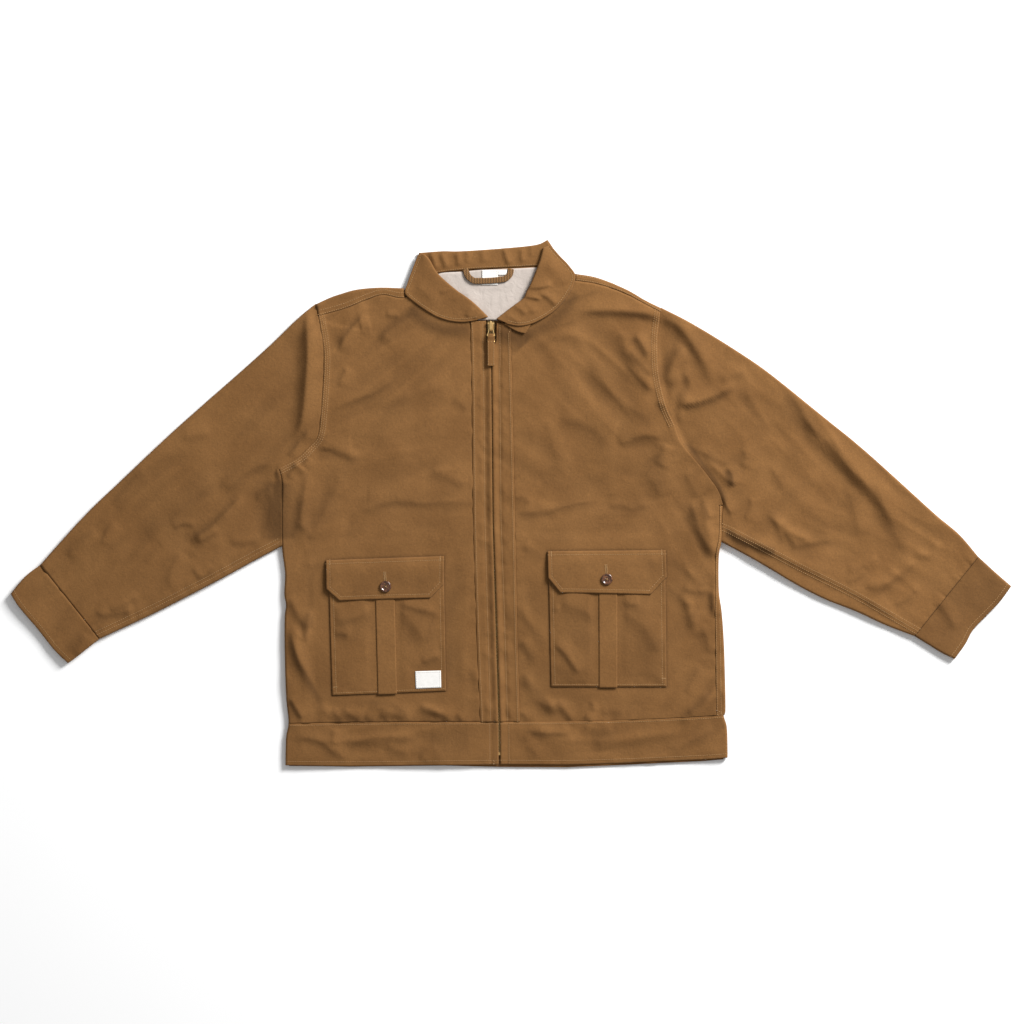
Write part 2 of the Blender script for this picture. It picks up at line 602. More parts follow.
# Fine creases by area, with the columns of FOLDS
FINE = {
    "left chest": (
        (((-212, 276), (-217, 264), (-230, 250), (-241, 233), (-248, 217)), 12, 4.5, 2.8),
        (((-132, 273), (-152, 263), (-168, 253), (-181, 243), (-190, 231)), 14.5, 6, 2.8),
        (((-160, 270), (-181, 273)), 3.5, 8.5, 1.3),
        (((-201, 256), (-218, 252)), 7.5, 17.5, 1.3),
        (((-235, 197), (-241, 183), (-247, 168)), 12, 4.5, 1.3),
        (((-164, 186), (-182, 171), (-201, 159), (-230, 149), (-260, 134)), 5, 15, 1.7),
        (((-284, 80), (-266, 81), (-250, 78), (-237, 72), (-228, 68), (-218, 76)), 17, 7, 2.6),
        (((-222, 2), (-206, -6), (-186, 1), (-160, 5), (-125, 2), (-94, 4), (-59, 4)), 19.5, 7, 2.6),
        (((-216, 140), (-183, 148), (-147, 155), (-115, 166), (-80, 172)), 26, 11, 2.0),
        (((-118, 52), (-92, 41), (-60, 25)), 22, 8.5, 1.7),
        (((-83, 153), (-60, 136)), 14.5, 6, 1.3),
        (((-237, 40), (-252, 17), (-264, -4), (-276, -32), (-283, -54)), 22, 10, 2.4),
        (((-293, 51), (-297, 12), (-303, -24), (-313, -56)), 13, 6, 1.8),
        (((-308, -25), (-293, -39), (-284, -53)), 11.5, 5, 1.3),
        (((-308, 59), (-314, 47), (-322, 36)), 8.5, 3.5, 1.7),
        (((-291, 67), (-299, 53)), 8.5, 3.5, 1.7),
        (((-154, 290), (-134, 264), (-105, 250), (-56, 248)), 10, 9, -1.5),
    ),
    "left armhole": (
        (((-287, 282), (-294, 253), (-294, 218), (-295, 181), (-299, 146), (-302, 114), (-311, 91),
         (-327, 70), (-345, 54), (-366, 34)), 16, 15, 3.0),
        (((-302, 96), (-308, 82), (-320, 67)), 8.5, 3.5, 1.8),
        (((-292, 105), (-298, 89)), 8.5, 3.5, 1.6),
        (((-273, 275), (-279, 261)), 8.5, 3.5, 1.3),
    ),
    "low on the left": (
        (((-288, -82), (-287, -87), (-276, -84), (-269, -81)), 14.5, 6, 1.7),
        (((-281, -90), (-283, -117), (-284, -146), (-285, -161)), 11.5, 5, 1.6),
        (((-318, -133), (-312, -148), (-302, -166), (-292, -182)), 14.5, 6, 2.2),
        (((-287, -151), (-290, -168), (-293, -189), (-301, -197)), 10, 4.5, 2.5),
        (((-283, -156), (-285, -182)), 8.5, 3.5, 1.7),
        (((-315, -176), (-314, -193), (-310, -210), (-303, -228), (-291, -248), (-281, -267), (-274, -281),
         (-266, -294), (-256, -294)), 13, 5.5, 3.7),
        (((-257, -294), (-249, -304), (-240, -313)), 11.5, 5, 1.7),
        (((-244, -293), (-230, -303), (-213, -312)), 14.5, 6, 2.2),
        (((-319, -278), (-311, -292), (-299, -312)), 8.5, 3.5, 2.3),
        (((-208, -281), (-185, -285), (-170, -287), (-155, -296), (-143, -309)), 16, 6.5, 2.3),
        (((-136, -289), (-118, -294), (-101, -302), (-83, -312)), 14.5, 6, 2.9),
        (((-187, -300), (-175, -313)), 11.5, 5, 1.3),
        (((-210, -304), (-196, -314)), 11.5, 5, 1.4),
        (((-78, -302), (-69, -313)), 8.5, 3.5, 1.6),
        (((-54, -236), (-48, -259), (-45, -275)), 11.5, 5, 1.3),
        (((-86, -195), (-77, -225), (-83, -255)), 23, 10, 1.2),
    ),
    "left waistband": (
        (((-315, -335), (-289, -338), (-271, -343), (-259, -353), (-245, -362), (-236, -370)),
         11.5, 5, 1.9),
        (((-253, -324), (-257, -348)), 10, 4.5, 1.4),
        (((-246, -339), (-229, -342), (-212, -339), (-192, -335), (-160, -336), (-131, -338)),
         13, 5.5, 1.9),
        (((-182, -348), (-162, -355), (-145, -358)), 14.5, 6, 1.3),
        (((-106, -346), (-123, -360), (-131, -371)), 14.5, 6, 1.3),
    ),
    "left sleeve": (
        (((-383, 15), (-394, 3), (-414, -18), (-432, -36), (-452, -49), (-463, -59)), 12.5, 5, 2.7),
        (((-420, -36), (-437, -48), (-454, -55)), 4.5, 10, 1.9),
        (((-453, -32), (-471, -28), (-489, -36)), 3.5, 8.5, 1.4),
        (((-341, 60), (-365, 54), (-386, 42), (-403, 28), (-422, 28)), 6, 16, 1.9),
        (((-420, 25), (-446, 5), (-471, -12), (-492, -30), (-518, -39), (-531, -55)), 19, 7.5, 1.9),
        (((-523, 51), (-540, 34), (-557, 14), (-575, -5)), 19, 7.5, 1.8),
        (((-595, -37), (-618, -58), (-641, -77)), 17.5, 7.5, 1.9),
        (((-569, -26), (-580, -40), (-589, -61)), 14.5, 6, 1.4),
        (((-431, 103), (-454, 98), (-474, 94)), 5, 11.5, 1.1),
        (((-541, -149), (-561, -156), (-586, -159), (-602, -150)), 6, 14.5, 2.4),
        (((-536, -131), (-558, -144), (-579, -154)), 5, 11.5, 1.3),
        (((-473, -69), (-490, -104), (-484, -124)), 17.5, 7.5, 1.5),
        (((-407, -53), (-382, -55), (-359, -50)), 10, 4.5, 1.4),
        (((-461, -90), (-444, -105), (-429, -87)), 8.5, 3.5, 1.1),
        (((-343, 20), (-357, 15), (-367, 4)), 10, 4.5, 1.5),
    ),
    "left cuff": (
        (((-609, -187), (-620, -206), (-626, -220)), 17.5, 7.5, 1.6),
    ),
    "right chest": (
        (((94, 277), (128, 278), (164, 277), (193, 274), (216, 269)), 15, 4.5, 3.1),
        (((108, 221), (122, 196), (139, 170), (161, 148), (186, 131), (211, 116)), 26, 13, 3.8),
        (((66, 127), (94, 120), (120, 108), (140, 91), (155, 87)), 26, 11, 2.9),
        (((153, 84), (173, 93), (197, 99), (221, 95)), 14.5, 6, 2.0),
        (((179, 245), (189, 230), (200, 212)), 10, 6, 2.0),
        (((170, 223), (183, 208), (198, 191), (204, 182)), 10, 6, 2.0),
        (((165, 203), (179, 188), (195, 171), (205, 159)), 10, 6, 2.2),
        (((161, 250), (164, 222), (170, 196)), 15, 8.5, 1.5),
        (((209, 149), (222, 138)), 8, 4.5, 1.5),
        (((224, 87), (218, 68), (211, 52)), 17.5, 7.5, 1.8),
        (((190, 52), (205, 37), (215, 19), (220, 7)), 26, 11, 2.1),
        (((1, -13), (41, -11), (73, -4), (102, 2), (128, 5)), 17.5, 5, 2.2),
        (((137, -3), (160, -1), (177, -6), (199, 4)), 19, 7.5, 1.8),
        (((3, 10), (20, 8), (29, -2)), 8.5, 3.5, 1.1),
        (((48, 125), (58, 99), (67, 71), (76, 38)), 25.5, 10, 1.4),
        (((23, 222), (52, 238), (89, 242), (113, 224)), 17.5, 7.5, 1.4),
        (((133, 312), (113, 304), (87, 296), (64, 289)), 3.5, 11, 1.2),
        (((96, 269), (79, 260), (53, 255)), 3.5, 8.5, 1.1),
        (((262, 8), (264, -11), (271, -34), (281, -55), (293, -80)), 17.5, 7.5, 3.7),
        (((275, 10), (282, -8), (290, -25)), 10.5, 5, 2.0),
        (((250, 50), (261, 28), (273, 7)), 17.5, 7.5, 1.5),
        (((1, 238), (27, 238), (59, 256), (85, 282), (96, 307)), 9, 9, -1.4),
    ),
    "low on the right": (
        (((228, -74), (259, -101), (283, -123)), 11.5, 5, 1.1),
        (((244, -119), (264, -125), (281, -125), (289, -122)), 11.5, 5, 1.8),
        (((291, -124), (292, -146), (292, -165)), 9, 5, 2.7),
        (((224, -114), (237, -128), (251, -141), (265, -148)), 11.5, 5, 2.0),
        (((267, -151), (265, -175), (267, -196)), 17.5, 7.5, 1.4),
        (((275, -174), (284, -196), (287, -218)), 13, 6, 1.6),
        (((296, -267), (280, -285), (265, -299), (250, -310), (239, -314)), 11.5, 5, 2.7),
        (((275, -234), (263, -256), (252, -277)), 14.5, 6, 1.2),
        (((16, -57), (35, -67), (51, -79)), 14.5, 6, 1.8),
        (((14, -138), (22, -163), (36, -180), (54, -216)), 17.5, 7.5, 1.8),
        (((12, -195), (24, -212), (38, -226)), 11.5, 5, 1.4),
        (((15, -240), (30, -257), (45, -272), (58, -289), (66, -307)), 18.5, 8, 3.8),
        (((67, -281), (79, -299), (90, -313)), 11.5, 5.5, 2.3),
        (((16, -299), (25, -314)), 8.5, 3.5, 1.1),
        (((116, -282), (121, -300)), 8.5, 3.5, 1.3),
        (((128, -301), (150, -297), (165, -303)), 14.5, 6, 1.1),
        (((105, -303), (118, -313)), 11.5, 5, 1.3),
    ),
    "right waistband": (
        (((18, -324), (33, -328), (56, -330), (88, -330)), 10, 4.5, 1.9),
        (((4, -321), (15, -335), (29, -340)), 14.5, 6, 1.3),
        (((22, -346), (41, -363)), 11.5, 5, 1.1),
        (((101, -318), (129, -328), (149, -324)), 23, 10, 1.6),
        (((126, -337), (131, -357)), 14.5, 6, 1.1),
        (((292, -321), (271, -335), (245, -348), (224, -359)), 6, 14.5, 1.6),
    ),
    "right sleeve": (
        (((224, 262), (243, 252), (258, 234), (270, 212), (283, 188), (297, 168)), 26, 12, 3.0),
        (((251, 226), (238, 210), (230, 191), (224, 168)), 14, 7.5, 3.5),
        (((242, 191), (253, 185), (257, 169), (249, 148), (247, 137)), 11.5, 6, 2.7),
        (((237, 138), (257, 143), (283, 150), (306, 161), (326, 174)), 14, 4, 3.2),
        (((333, 174), (344, 156), (354, 137), (367, 119), (380, 100)), 23, 10, 2.2),
        (((341, 189), (323, 187), (302, 174)), 5, 11.5, 1.4),
        (((256, 83), (276, 75), (296, 64), (316, 57)), 13, 5.5, 1.6),
        (((311, 54), (318, 42), (320, 24)), 11.5, 4.5, 2.2),
        (((305, 14), (311, -3), (319, -18)), 9, 3, 1.6),
        (((333, 81), (339, 69), (334, 50)), 13, 6, 1.6),
        (((373, 57), (384, 39), (397, 21)), 14.5, 6, 1.1),
        (((347, 11), (346, -7), (337, -26)), 11.5, 5.5, 1.4),
        (((366, -13), (381, -25), (388, -43), (394, -60)), 11.5, 5, 1.1),
        (((393, -38), (403, -51), (412, -60)), 10, 4.5, 1.2),
        (((396, -62), (420, -59), (445, -54), (468, -51)), 11.5, 5, 1.6),
        (((393, 164), (414, 145), (429, 123), (443, 97)), 20, 8.5, 1.8),
        (((461, 105), (473, 79), (487, 54), (503, 34), (524, 14)), 25, 12, 2.6),
        (((525, 38), (533, 12), (542, -13), (553, -39), (567, -60), (582, -78)), 25, 12, 2.6),
        (((419, 106), (442, 86), (465, 65), (480, 45)), 17.5, 7.5, 1.1),
        (((400, 88), (416, 65), (429, 42), (443, 19)), 20, 8.5, 1.1),
        (((482, 24), (492, 4), (499, -23), (504, -49)), 17.5, 7.5, 1.4),
        (((482, -114), (499, -106), (510, -96)), 8.5, 3.5, 1.1),
        (((513, -130), (535, -119), (555, -105), (570, -92), (584, -82)), 14.5, 6, 1.8),
        (((548, -145), (568, -138), (579, -126), (591, -122)), 10, 4.5, 1.1),
        (((306, -31), (331, -51), (357, -61), (386, -71)), 11, 6, 2.9),
    ),
    "left pocket": (
        (((-199, -149), (-216, -160), (-237, -165), (-256, -170)), 7.5, 17.5, 1.8),
        (((-255, -187), (-243, -186), (-231, -190)), 10, 4.5, 1.4),
        (((-166, -140), (-145, -148), (-123, -154), (-100, -161)), 10, 4.5, 1.4),
        (((-161, -147), (-147, -164), (-132, -183), (-118, -202)), 26, 11, 2.1),
        (((-129, -229), (-115, -222), (-101, -219)), 10, 4.5, 1.4),
    ),
    "right pocket": (
        (((60, -150), (70, -154)), 8.5, 3.5, 1.1),
        (((69, -143), (89, -147), (109, -156), (126, -165)), 23, 10, 2.1),
        (((60, -201), (75, -212), (87, -228), (100, -247)), 10, 4.5, 2.1),
        (((156, -139), (172, -144), (187, -144)), 11.5, 5, 1.2),
        (((158, -155), (181, -166), (202, -189), (216, -217)), 26, 11, 2.2),
    ),
    "right cuff": (
        (((613, -137), (632, -163), (642, -184)), 14.5, 6, 1.6),
    ),
}
FINE_ROWS = [row for rows in FINE.values() for row in rows]
# Places in the shade: route, reach, depth
SHADES = (
    (((251, 90), (269, 65), (285, 44), (300, 23), (309, 0)), 4.2, 1.0),
    (((-22, 248), (-8, 244), (6, 239), (19, 226)), 15.0, 1.0),
    (((-337, 34), (-340, -2), (-337, -55)), 21.6, 0.95),
    (((-145, 289), (-125, 263), (-95, 251), (-56, 251)), 10.1, 0.75),
    (((9, 240), (49, 256), (78, 282), (95, 307)), 8.6, 0.6),
    (((307, -41), (337, -55), (382, -71)), 5.8, 1.0),
    (((311, 48), (315, 37), (317, 24)), 5.8, 0.8),
    (((-338, 48), (-334, 34), (-330, 19)), 3.6, 0.9),
    (((204, 70), (212, 48), (215, 17)), 13.0, 0.35),
    (((-304, 5), (-289, -38)), 17.3, 0.25),
    (((-81, -81), (-85, -168), (-88, -269)), 14.4, 0.22),
    (((-117, -348), (-59, -343)), 20.2, 0.3),
    (((114, -333), (157, -330)), 14.4, 0.2),
)

# How faint wrinkles run: x, y, angle in degrees, strength
WRINKLES = (
    (-210, 190, 38, 1.0), (-130, 60, 20, 0.7), (-200, -20, 2, 0.8), (-290, -60, 75, 0.9),
    (-290, -220, -70, 0.8), (-80, -230, 80, 0.6), (-180, -330, 5, 1.0), (130, 180, -48, 1.0),
    (60, 60, -35, 0.8), (140, -10, 4, 0.8), (270, -90, -60, 1.0), (250, -250, 50, 0.9),
    (40, -240, -45, 0.8), (160, -335, 8, 1.0), (-400, 120, 45, 0.7), (-460, 0, 35, 0.8),
    (-560, -70, 48, 1.0), (-480, -130, 30, 0.8), (270, 180, 70, 0.9), (340, 110, -40, 1.0),
    (330, 10, 45, 1.0), (470, 80, -55, 1.0), (430, -50, -25, 1.0), (560, -80, -35, 1.0),
    (-670, -160, 50, 0.6), (660, -160, -50, 0.6),
)
WRINKLE_REACH = 75.0
WRINKLE_STRETCH = 0.22
WRINKLE_SEEDS = (101, 141)


def faint_wrinkles(x, y):
    """Long faint wrinkles that run with the pull of the cloth, from about -1 to 1."""
    total, weight = np.zeros(np.shape(x)), np.full(np.shape(x), 1e-6)
    for k, (cx, cy, angle, strength) in enumerate(WRINKLES):
        share = np.exp(-(((x - cx) ** 2 + (y - cy) ** 2) / WRINKLE_REACH**2))
        c, s = math.cos(math.radians(angle)), math.sin(math.radians(angle))
        along, across = (x * c + y * s) * WRINKLE_STRETCH, y * c - x * s
        broad, narrow = (rough(along, across, size, seed + k) for size, seed in zip((13, 7.5), WRINKLE_SEEDS))
        total += (0.6 - 1.5 * abs(broad) + 0.5 * narrow) * share * strength
        weight += share
    return total / np.maximum(weight, 0.25)


def cloth_detail(x, y):
    """Fine creases and unevenness of loose cloth."""
    soft = uneven(x, y, (0.9, 46, 3), (0.32, 19, 4), (0.06, 8, 5))
    return creases(x, y, FINE_ROWS) + soft + 0.6 * faint_wrinkles(x, y)


CRISP = 0.6  # reach of a fold's shade towards its crest, as a share of the fold's reach
SOFT = 1.5  # the same, away from the crest
FOLD_SHADE = 0.85
FOLD_STEEP = 0.9  # a fold this many times as high as its narrower reach has the full shade
CREST = 0.53  # from a fold's route to where it is darkest, as a share of its narrower reach
WRINKLE_SHADE = 0.22
RIM_SHADE = 0.75
RIM_REACH = 2.4


def fold_shade(x, y):
    """How much each place lies in the shade of a fold, from 0 to 1."""
    total = np.zeros(np.shape(x))
    for route, left, right, height in FINE_ROWS:
        dark = min(left, right)
        near = close_to(x, y, route, 3 * dark)
        if near.any():
            d, share = nearest(x[near], y[near], route)
            inward = (d if left < right else -d) - CREST * dark if height > 0 else d
            reach = np.where(inward < 0, CRISP, SOFT) * dark if height > 0 else dark
            depth = FOLD_SHADE * min(1, abs(height) / (FOLD_STEEP * dark))
            total[near] += depth * np.exp(-(inward / reach) ** 2) * ease(share * (1 - share) * FOLD_ENDS)
    for route, reach, depth in SHADES:
        near = close_to(x, y, route, 3 * reach)
        if near.any():
            d, share = nearest(x[near], y[near], route)
            total[near] += depth * swell(d, 0, reach) * ease(share * (1 - share) * SHADE_ENDS)
    return np.clip(total + WRINKLE_SHADE * np.clip(-faint_wrinkles(x, y), 0, 1), 0, 1)


def front_shade(x, y):
    """The shade of folds, and the thin line of it round each pocket."""
    total = fold_shade(x, y)
    for sizes in POCKETS.values():
        for outline in (sizes["bag"], sizes["flap"]):
            rim = edge_distance(x, y, [*outline, outline[0]])
            total = np.maximum(total, RIM_SHADE * swell(rim, 0, RIM_REACH))
    return total


def pucker(along, distance, reach, height, seed, size=7.0):
    """Small ripples across a seam, fading away from it."""
    return height * rough(along, distance * 0.25, size, seed) * beyond(distance, reach)


TURNED_BELOW = 78.0  # the front turns under its edge at the right armhole, below this height
TURN_FADE = 30.0
ALLOWANCE = 9.0  # width of the seam allowance that lies under an armhole's stitches
ALLOWANCE_RISE = 0.5
SEAM_NEAR = 40

# Seams of the fronts: route, seed, side that the raised seam allowance lies on, 0 for a plain groove
SEAMS = (
    (ARMHOLES["left"], 23, 1), (ARMHOLES["right"], 24, -1), (SHOULDER_SEAMS["left"], 24, 0),
    (SHOULDER_SEAMS["right"], 25, 0), (RIGHT_SIDE_SEAM, 21, 0), (WAIST_SEAM, 16, 0),
    (BAND_SEAMS["left"], 20, 0), (BAND_SEAMS["right"], 21, 0),
)


def ridge(d, width, height):
    """A raised, stitched strip from the seam (d = 0) to its width, with a groove at the seam."""
    strip = height * ease((d + 0.6) / 1.2) * (1 - ease((d - width + 0.8) / 1.6))
    return strip - 0.25 * swell(d, 0, 0.9)


def seam_heights(x, y):
    """Ridges, grooves and puckers beside the seams of the fronts."""
    total = np.zeros(np.shape(x))
    for route, seed, side in SEAMS:
        near = close_to(x, y, route, SEAM_NEAR)
        if not near.any():
            continue
        d, share = nearest(x[near], y[near], route)
        if side:
            flat = ease((y[near] - TURNED_BELOW) / TURN_FADE) if side < 0 else 1
            total[near] += ridge(d * side, ALLOWANCE, ALLOWANCE_RISE) * flat
        else:
            total[near] -= 0.2 * swell(d, 0, 1.2)
        along = share * np.linalg.norm(np.diff(np.array(route), axis=0), axis=1).sum()
        total[near] += pucker(along, d, reach=13, height=0.42, seed=seed)
    return total


def body_height(x, y):
    """Top of the fronts, bands and shoulders."""
    x, y = np.asarray(x, float), np.asarray(y, float)
    left = x - x_of(SIDES["left"], np.minimum(y, SIDES["left"][0][1]))
    right = x_of(SIDES["right"], np.minimum(y, SIDES["right"][0][1])) - x
    puff = SIDE_PUFF * (swell(left, 0, PUFF_REACH) + swell(right, 0, PUFF_REACH))
    beside_sleeve = ease((y + 95) / 50) * ease((70 - y) / 45)
    puff = puff + UNDERARM_RISE * beside_sleeve * swell(left, 0, UNDERARM_REACH)
    calm = 1 - ZIP_CALM * swell(x, x_of(ZIP_LINE, y), ZIP_REACH)
    loose = creases(x, y, FOLDS, FOLD_REST) + cloth_detail(x, y)
    free = np.maximum(FRONT_REST + puff + loose * calm, LOWEST_TOP)
    share, height = flatness(x, y)
    calm_place = uneven(x, y, (0.12, 30, 6))
    return free * (1 - share) + (height + calm_place * (height > POCKET_REST)) * share


def front_top(x, y):
    return body_height(x, y) + seam_heights(x, y) * (1 - 0.7 * flatness(x, y)[0])


def back_lift(x, y):
    """How far the back is lifted off the surface by the collar folded behind it."""
    up = ease((y - 256) / 30)
    across = ease((150 - abs(x + 30)) / 26)
    return BACK_LIFT * up * across


def hollows(x, y, *layers):
    """A few shallow hollows in an underside that is otherwise flat."""
    return np.clip(uneven(x, y, *layers) - HOLLOW_FROM, 0, HOLLOW_MOST)


def back_under(x, y):
    """Underside of the back: flat where it rests, with a few shallow hollows."""
    return back_lift(x, y) + hollows(x, y, (0.5, 52, 21), (0.35, 17, 22))


# %% [markdown]
# A piece of cloth is a sheet through a grid of points with a thin wall on its inner side. Strips fold round
# from its edges where the garment is folded.

# %% sheets
PIECES = {}
SHADE_FROM = 2.5  # the undersides below this height have no painted shade
SHADE_FADE = 1.5
STRIP_RISE = 0.5  # the stitched strip beside a rolled edge's seam
STRIP_WIDTH = 7.2
STRIP_SLOPE = 1.8
SEAM_DEPTH = 0.35
SEAM_WIDTH = 0.7
parts = bpy.data.collections.new("jacket_parts")
bpy.context.scene.collection.children.link(parts)


def grid_faces(rows, columns, ring=False):
    r, c = np.meshgrid(np.arange(rows - 1), np.arange(columns if ring else columns - 1), indexing="ij")
    a, b = (r * columns + c).ravel(), (r * columns + (c + 1) % columns).ravel()
    return np.stack([a, b, b + columns, a + columns], axis=-1).tolist()


def face_out(mesh, upward, probe):
    """Turns all faces the same way, the probed one up or down."""
    work = bmesh.new()
    work.from_mesh(mesh)
    bmesh.ops.recalc_face_normals(work, faces=work.faces)
    work.faces.ensure_lookup_table()
    if (work.faces[probe].normal.z > 0) != upward:
        bmesh.ops.reverse_faces(work, faces=work.faces)
    work.to_mesh(mesh)
    work.free()


def add_piece(name, mesh, kind, node, body="jacket"):
    piece = bpy.data.objects.new(name, mesh)
    parts.objects.link(piece)
    mesh.shade_smooth()
    PIECES[name] = (piece, kind, node, body)
    return piece


def sheet(node, points, kind, thickness, ring=False, upward=True, flanges=(), body="jacket", shade=None):
    """A sheet through a grid. Each flange is (vertices of the grid's edge, points of the strip from each)."""
    rows, columns = points.shape[:2]
    verts = points.reshape(-1, 3)
    faces = grid_faces(rows, columns, ring)
    for edge, strip in flanges:
        start, count = len(verts), strip.shape[1]
        verts = np.vstack([verts, strip.reshape(-1, 3)])
        lines = [[vertex] + [start + n * count + k for k in range(count)] for n, vertex in enumerate(edge)]
        for one, two in zip(lines, lines[1:]):
            faces += [(a, b, c, d) for a, b, c, d in zip(one, one[1:], two[1:], two)]
    mesh = bpy.data.meshes.new(node + "_cloth")
    mesh.from_pydata((verts * MM).tolist(), [], faces)
    face_out(mesh, upward, columns + columns // 4)
    if shade:
        dark = shade(verts[:, 0], verts[:, 1]) * ease((verts[:, 2] - SHADE_FROM) / SHADE_FADE)
        mesh.attributes.new("shade", "FLOAT", "POINT").data.foreach_set("value", dark.astype(np.float32))
    piece = add_piece(node + "_cloth", mesh, kind, node, body)
    wall = piece.modifiers.new("wall", "SOLIDIFY")
    wall.thickness = thickness * MM
    wall.offset = -1
    wall.thickness_clamp = 0
    return piece


def raised(flat, height):
    x, y = flat[..., 0], flat[..., 1]
    z = height(x, y) if callable(height) else np.full(x.shape, float(height))
    return np.stack([x, y, z], axis=-1)


def edge_drop(grid, drop, sides="blrt"):
    """Turns the outermost points of a grid down a little, so that the cut edge looks folded."""
    edges = {"b": grid[0], "t": grid[-1], "l": grid[:, 0], "r": grid[:, -1]}
    for side in sides:
        edges[side][:, 2] -= drop
    return grid


def with_edges(where, rim):
    """Adds a place close to each end of the shares, for a crisp folded edge."""
    return np.sort(np.concatenate([where, [rim, 1 - rim]]))


def straight(a, b, where):
    """Points at the shares of a straight stretch."""
    return at(np.array((a, b), float), where)


def framed(corners, steps, rim):
    """A plan grid through four corners, given from the lower left round, and its shares across and up."""
    a, b, c, d = (np.array(p, float) for p in corners)
    sides = (np.linalg.norm(b - a), np.linalg.norm(d - a))
    across, up = (with_edges(spaced(0, 1, step / size), rim / size) for step, size in zip(steps, sides))
    plan = patch(straight(a, b, across), straight(d, c, across), straight(a, d, up), straight(b, c, up))
    return plan, across, up


def with_heights(plan, z):
    return np.concatenate([plan, np.broadcast_to(z, plan.shape[:-1])[..., None]], axis=-1)


def roll_down(points, sign):
    """The strips that fold from a top edge round to the underside."""
    x, y, z = (points[:, k, None] for k in range(3))
    half = z / 2
    arc = np.stack([x + sign * ROLL * np.sin(ARC), y + 0 * ARC, half + half * np.cos(ARC)], axis=-1)
    tail = [np.stack([x + 0 * x, y, 0 * z], axis=-1), np.stack([x - sign * TAIL, y, 0 * z], axis=-1)]
    return np.concatenate([arc] + tail, axis=1)


def roll_up(points, outline, seam):
    """The strips that fold from the underside round to a seam on top."""
    top = body_height(seam[:, 0], seam[:, 1])[:, None]
    x, y, z = (points[:, k, None] for k in range(3))
    half = (top - z) / 2
    out = (outline - points[:, :2])[:, None] * np.sin(ARC)[None, :, None]
    arc = with_heights(points[:, None, :2] + out, z + half - half * np.cos(ARC))
    dx, dy = seam[:, :1] - x, seam[:, 1:] - y
    steps = np.sort(np.append(np.linspace(0, 1, 10), 0.97))[None]
    px, py = x + dx * steps, y + dy * steps
    level = top + (body_height(px, py) - top) * ease(steps * 2)
    to_seam = np.hypot(dx, dy) * (1 - steps)
    strip = STRIP_RISE * (1 - ease((to_seam - STRIP_WIDTH) / STRIP_SLOPE))
    groove = SEAM_DEPTH * ease(1 - to_seam / SEAM_WIDTH)
    flat = np.stack([px, py, level + (strip - groove) * ease(steps * 3)], axis=-1)
    return np.concatenate([arc, flat], axis=1)


# %% [markdown]
# Seams that neighbouring pieces share.

# %% shared seams
FINE_STEPS = (95, 36, 95)  # down the armhole, past the armpit, and back up on the underside
COARSE_STEPS = (8, 4, 5)
LAST_BACK_ROW = 257
ARMPIT_NOTCH = 1.2
ARM_CLEAR = -0.3
FLAT_SEAM = 3.0
SHOULDER_COLUMNS = 34
NECK_COLUMNS = 44
FRONT_COLUMNS = 122
FRONT_RIM = 0.8  # from a side edge of a front to its first column
NECK_MARGIN = 6  # from the shoulders to the first and last point of the back's neck edge


def armhole(side, steps=FINE_STEPS):
    """Where a sleeve meets the body, from the shoulder down past the armpit, and the points they share."""
    arm = smooth(ARMHOLES[side])
    seam_end = SHOULDER_SEAMS[side][0 if side == "left" else -1]
    line = np.vstack([arm, between(SIDES[side], SLEEVE_LOWER[side][0][1], arm[-1, 1] - 1)[::-1]])
    share = shares(line)
    armpit = share[len(arm) - 1]
    seam, last = (np.interp(-y, -arm[:, 1], share[: len(arm)]) for y in (seam_end[1], LAST_BACK_ROW))
    inset = ROLL / lengths(line)[-1]
    return {
        "line": line,
        "inset": inset,
        "armpit": armpit,
        "arm": np.linspace(seam, armpit, steps[0] + 1),
        "stretch": np.linspace(armpit, 1, steps[1] + 1)[1:],
        "under": np.append(np.linspace(armpit, last, steps[2]), inset),
    }


def aside(line, where, distance):
    return at_same(line, beside(line, distance), where)


def side_rows(side, step=3.0):
    """Points down the folded side of the body, from the waist up to just under the armpit."""
    join = armhole(side)
    lower = join["line"][-1]
    waist = waist_y(x_of(SIDES[side], WAIST_SEAM[0][1])) + GAP / 2
    rows = at(between(SIDES[side], waist, lower[1]), spaced(0, 1, step / (lower[1] - waist)))
    beside_sleeve = at(join["line"], join["stretch"])[::-1]
    armpit = at(join["line"], join["armpit"])
    keep = beside_sleeve[beside_sleeve[:, 1] < armpit[1] - ARMPIT_NOTCH - 0.5]
    last = armpit + (keep[-1] - armpit) * ARMPIT_NOTCH / (armpit[1] - keep[-1, 1])
    return np.vstack([rows[:-1], keep, last[None]])


def neckline(side):
    """The front's neck edge, hidden under a collar leaf, from the shoulder to the zip band."""
    rows = np.array(LEAVES[side], float)[3:-1]
    fold, edge = rows[:, :2], rows[:, 2:4]
    out = (edge - fold) / np.linalg.norm(edge - fold, axis=1, keepdims=True)
    return fold + out * (STAND_DEPTH + NECK_CLEAR)


def band_seam(side):
    """The seam between a front and its zip band, from the waist up to the neck."""
    line = smooth(BAND_SEAMS[side])[::-1].copy()
    line[-1] = neckline(side)[-1]
    line[0, 1] = waist_y(line[0, 0])
    return line


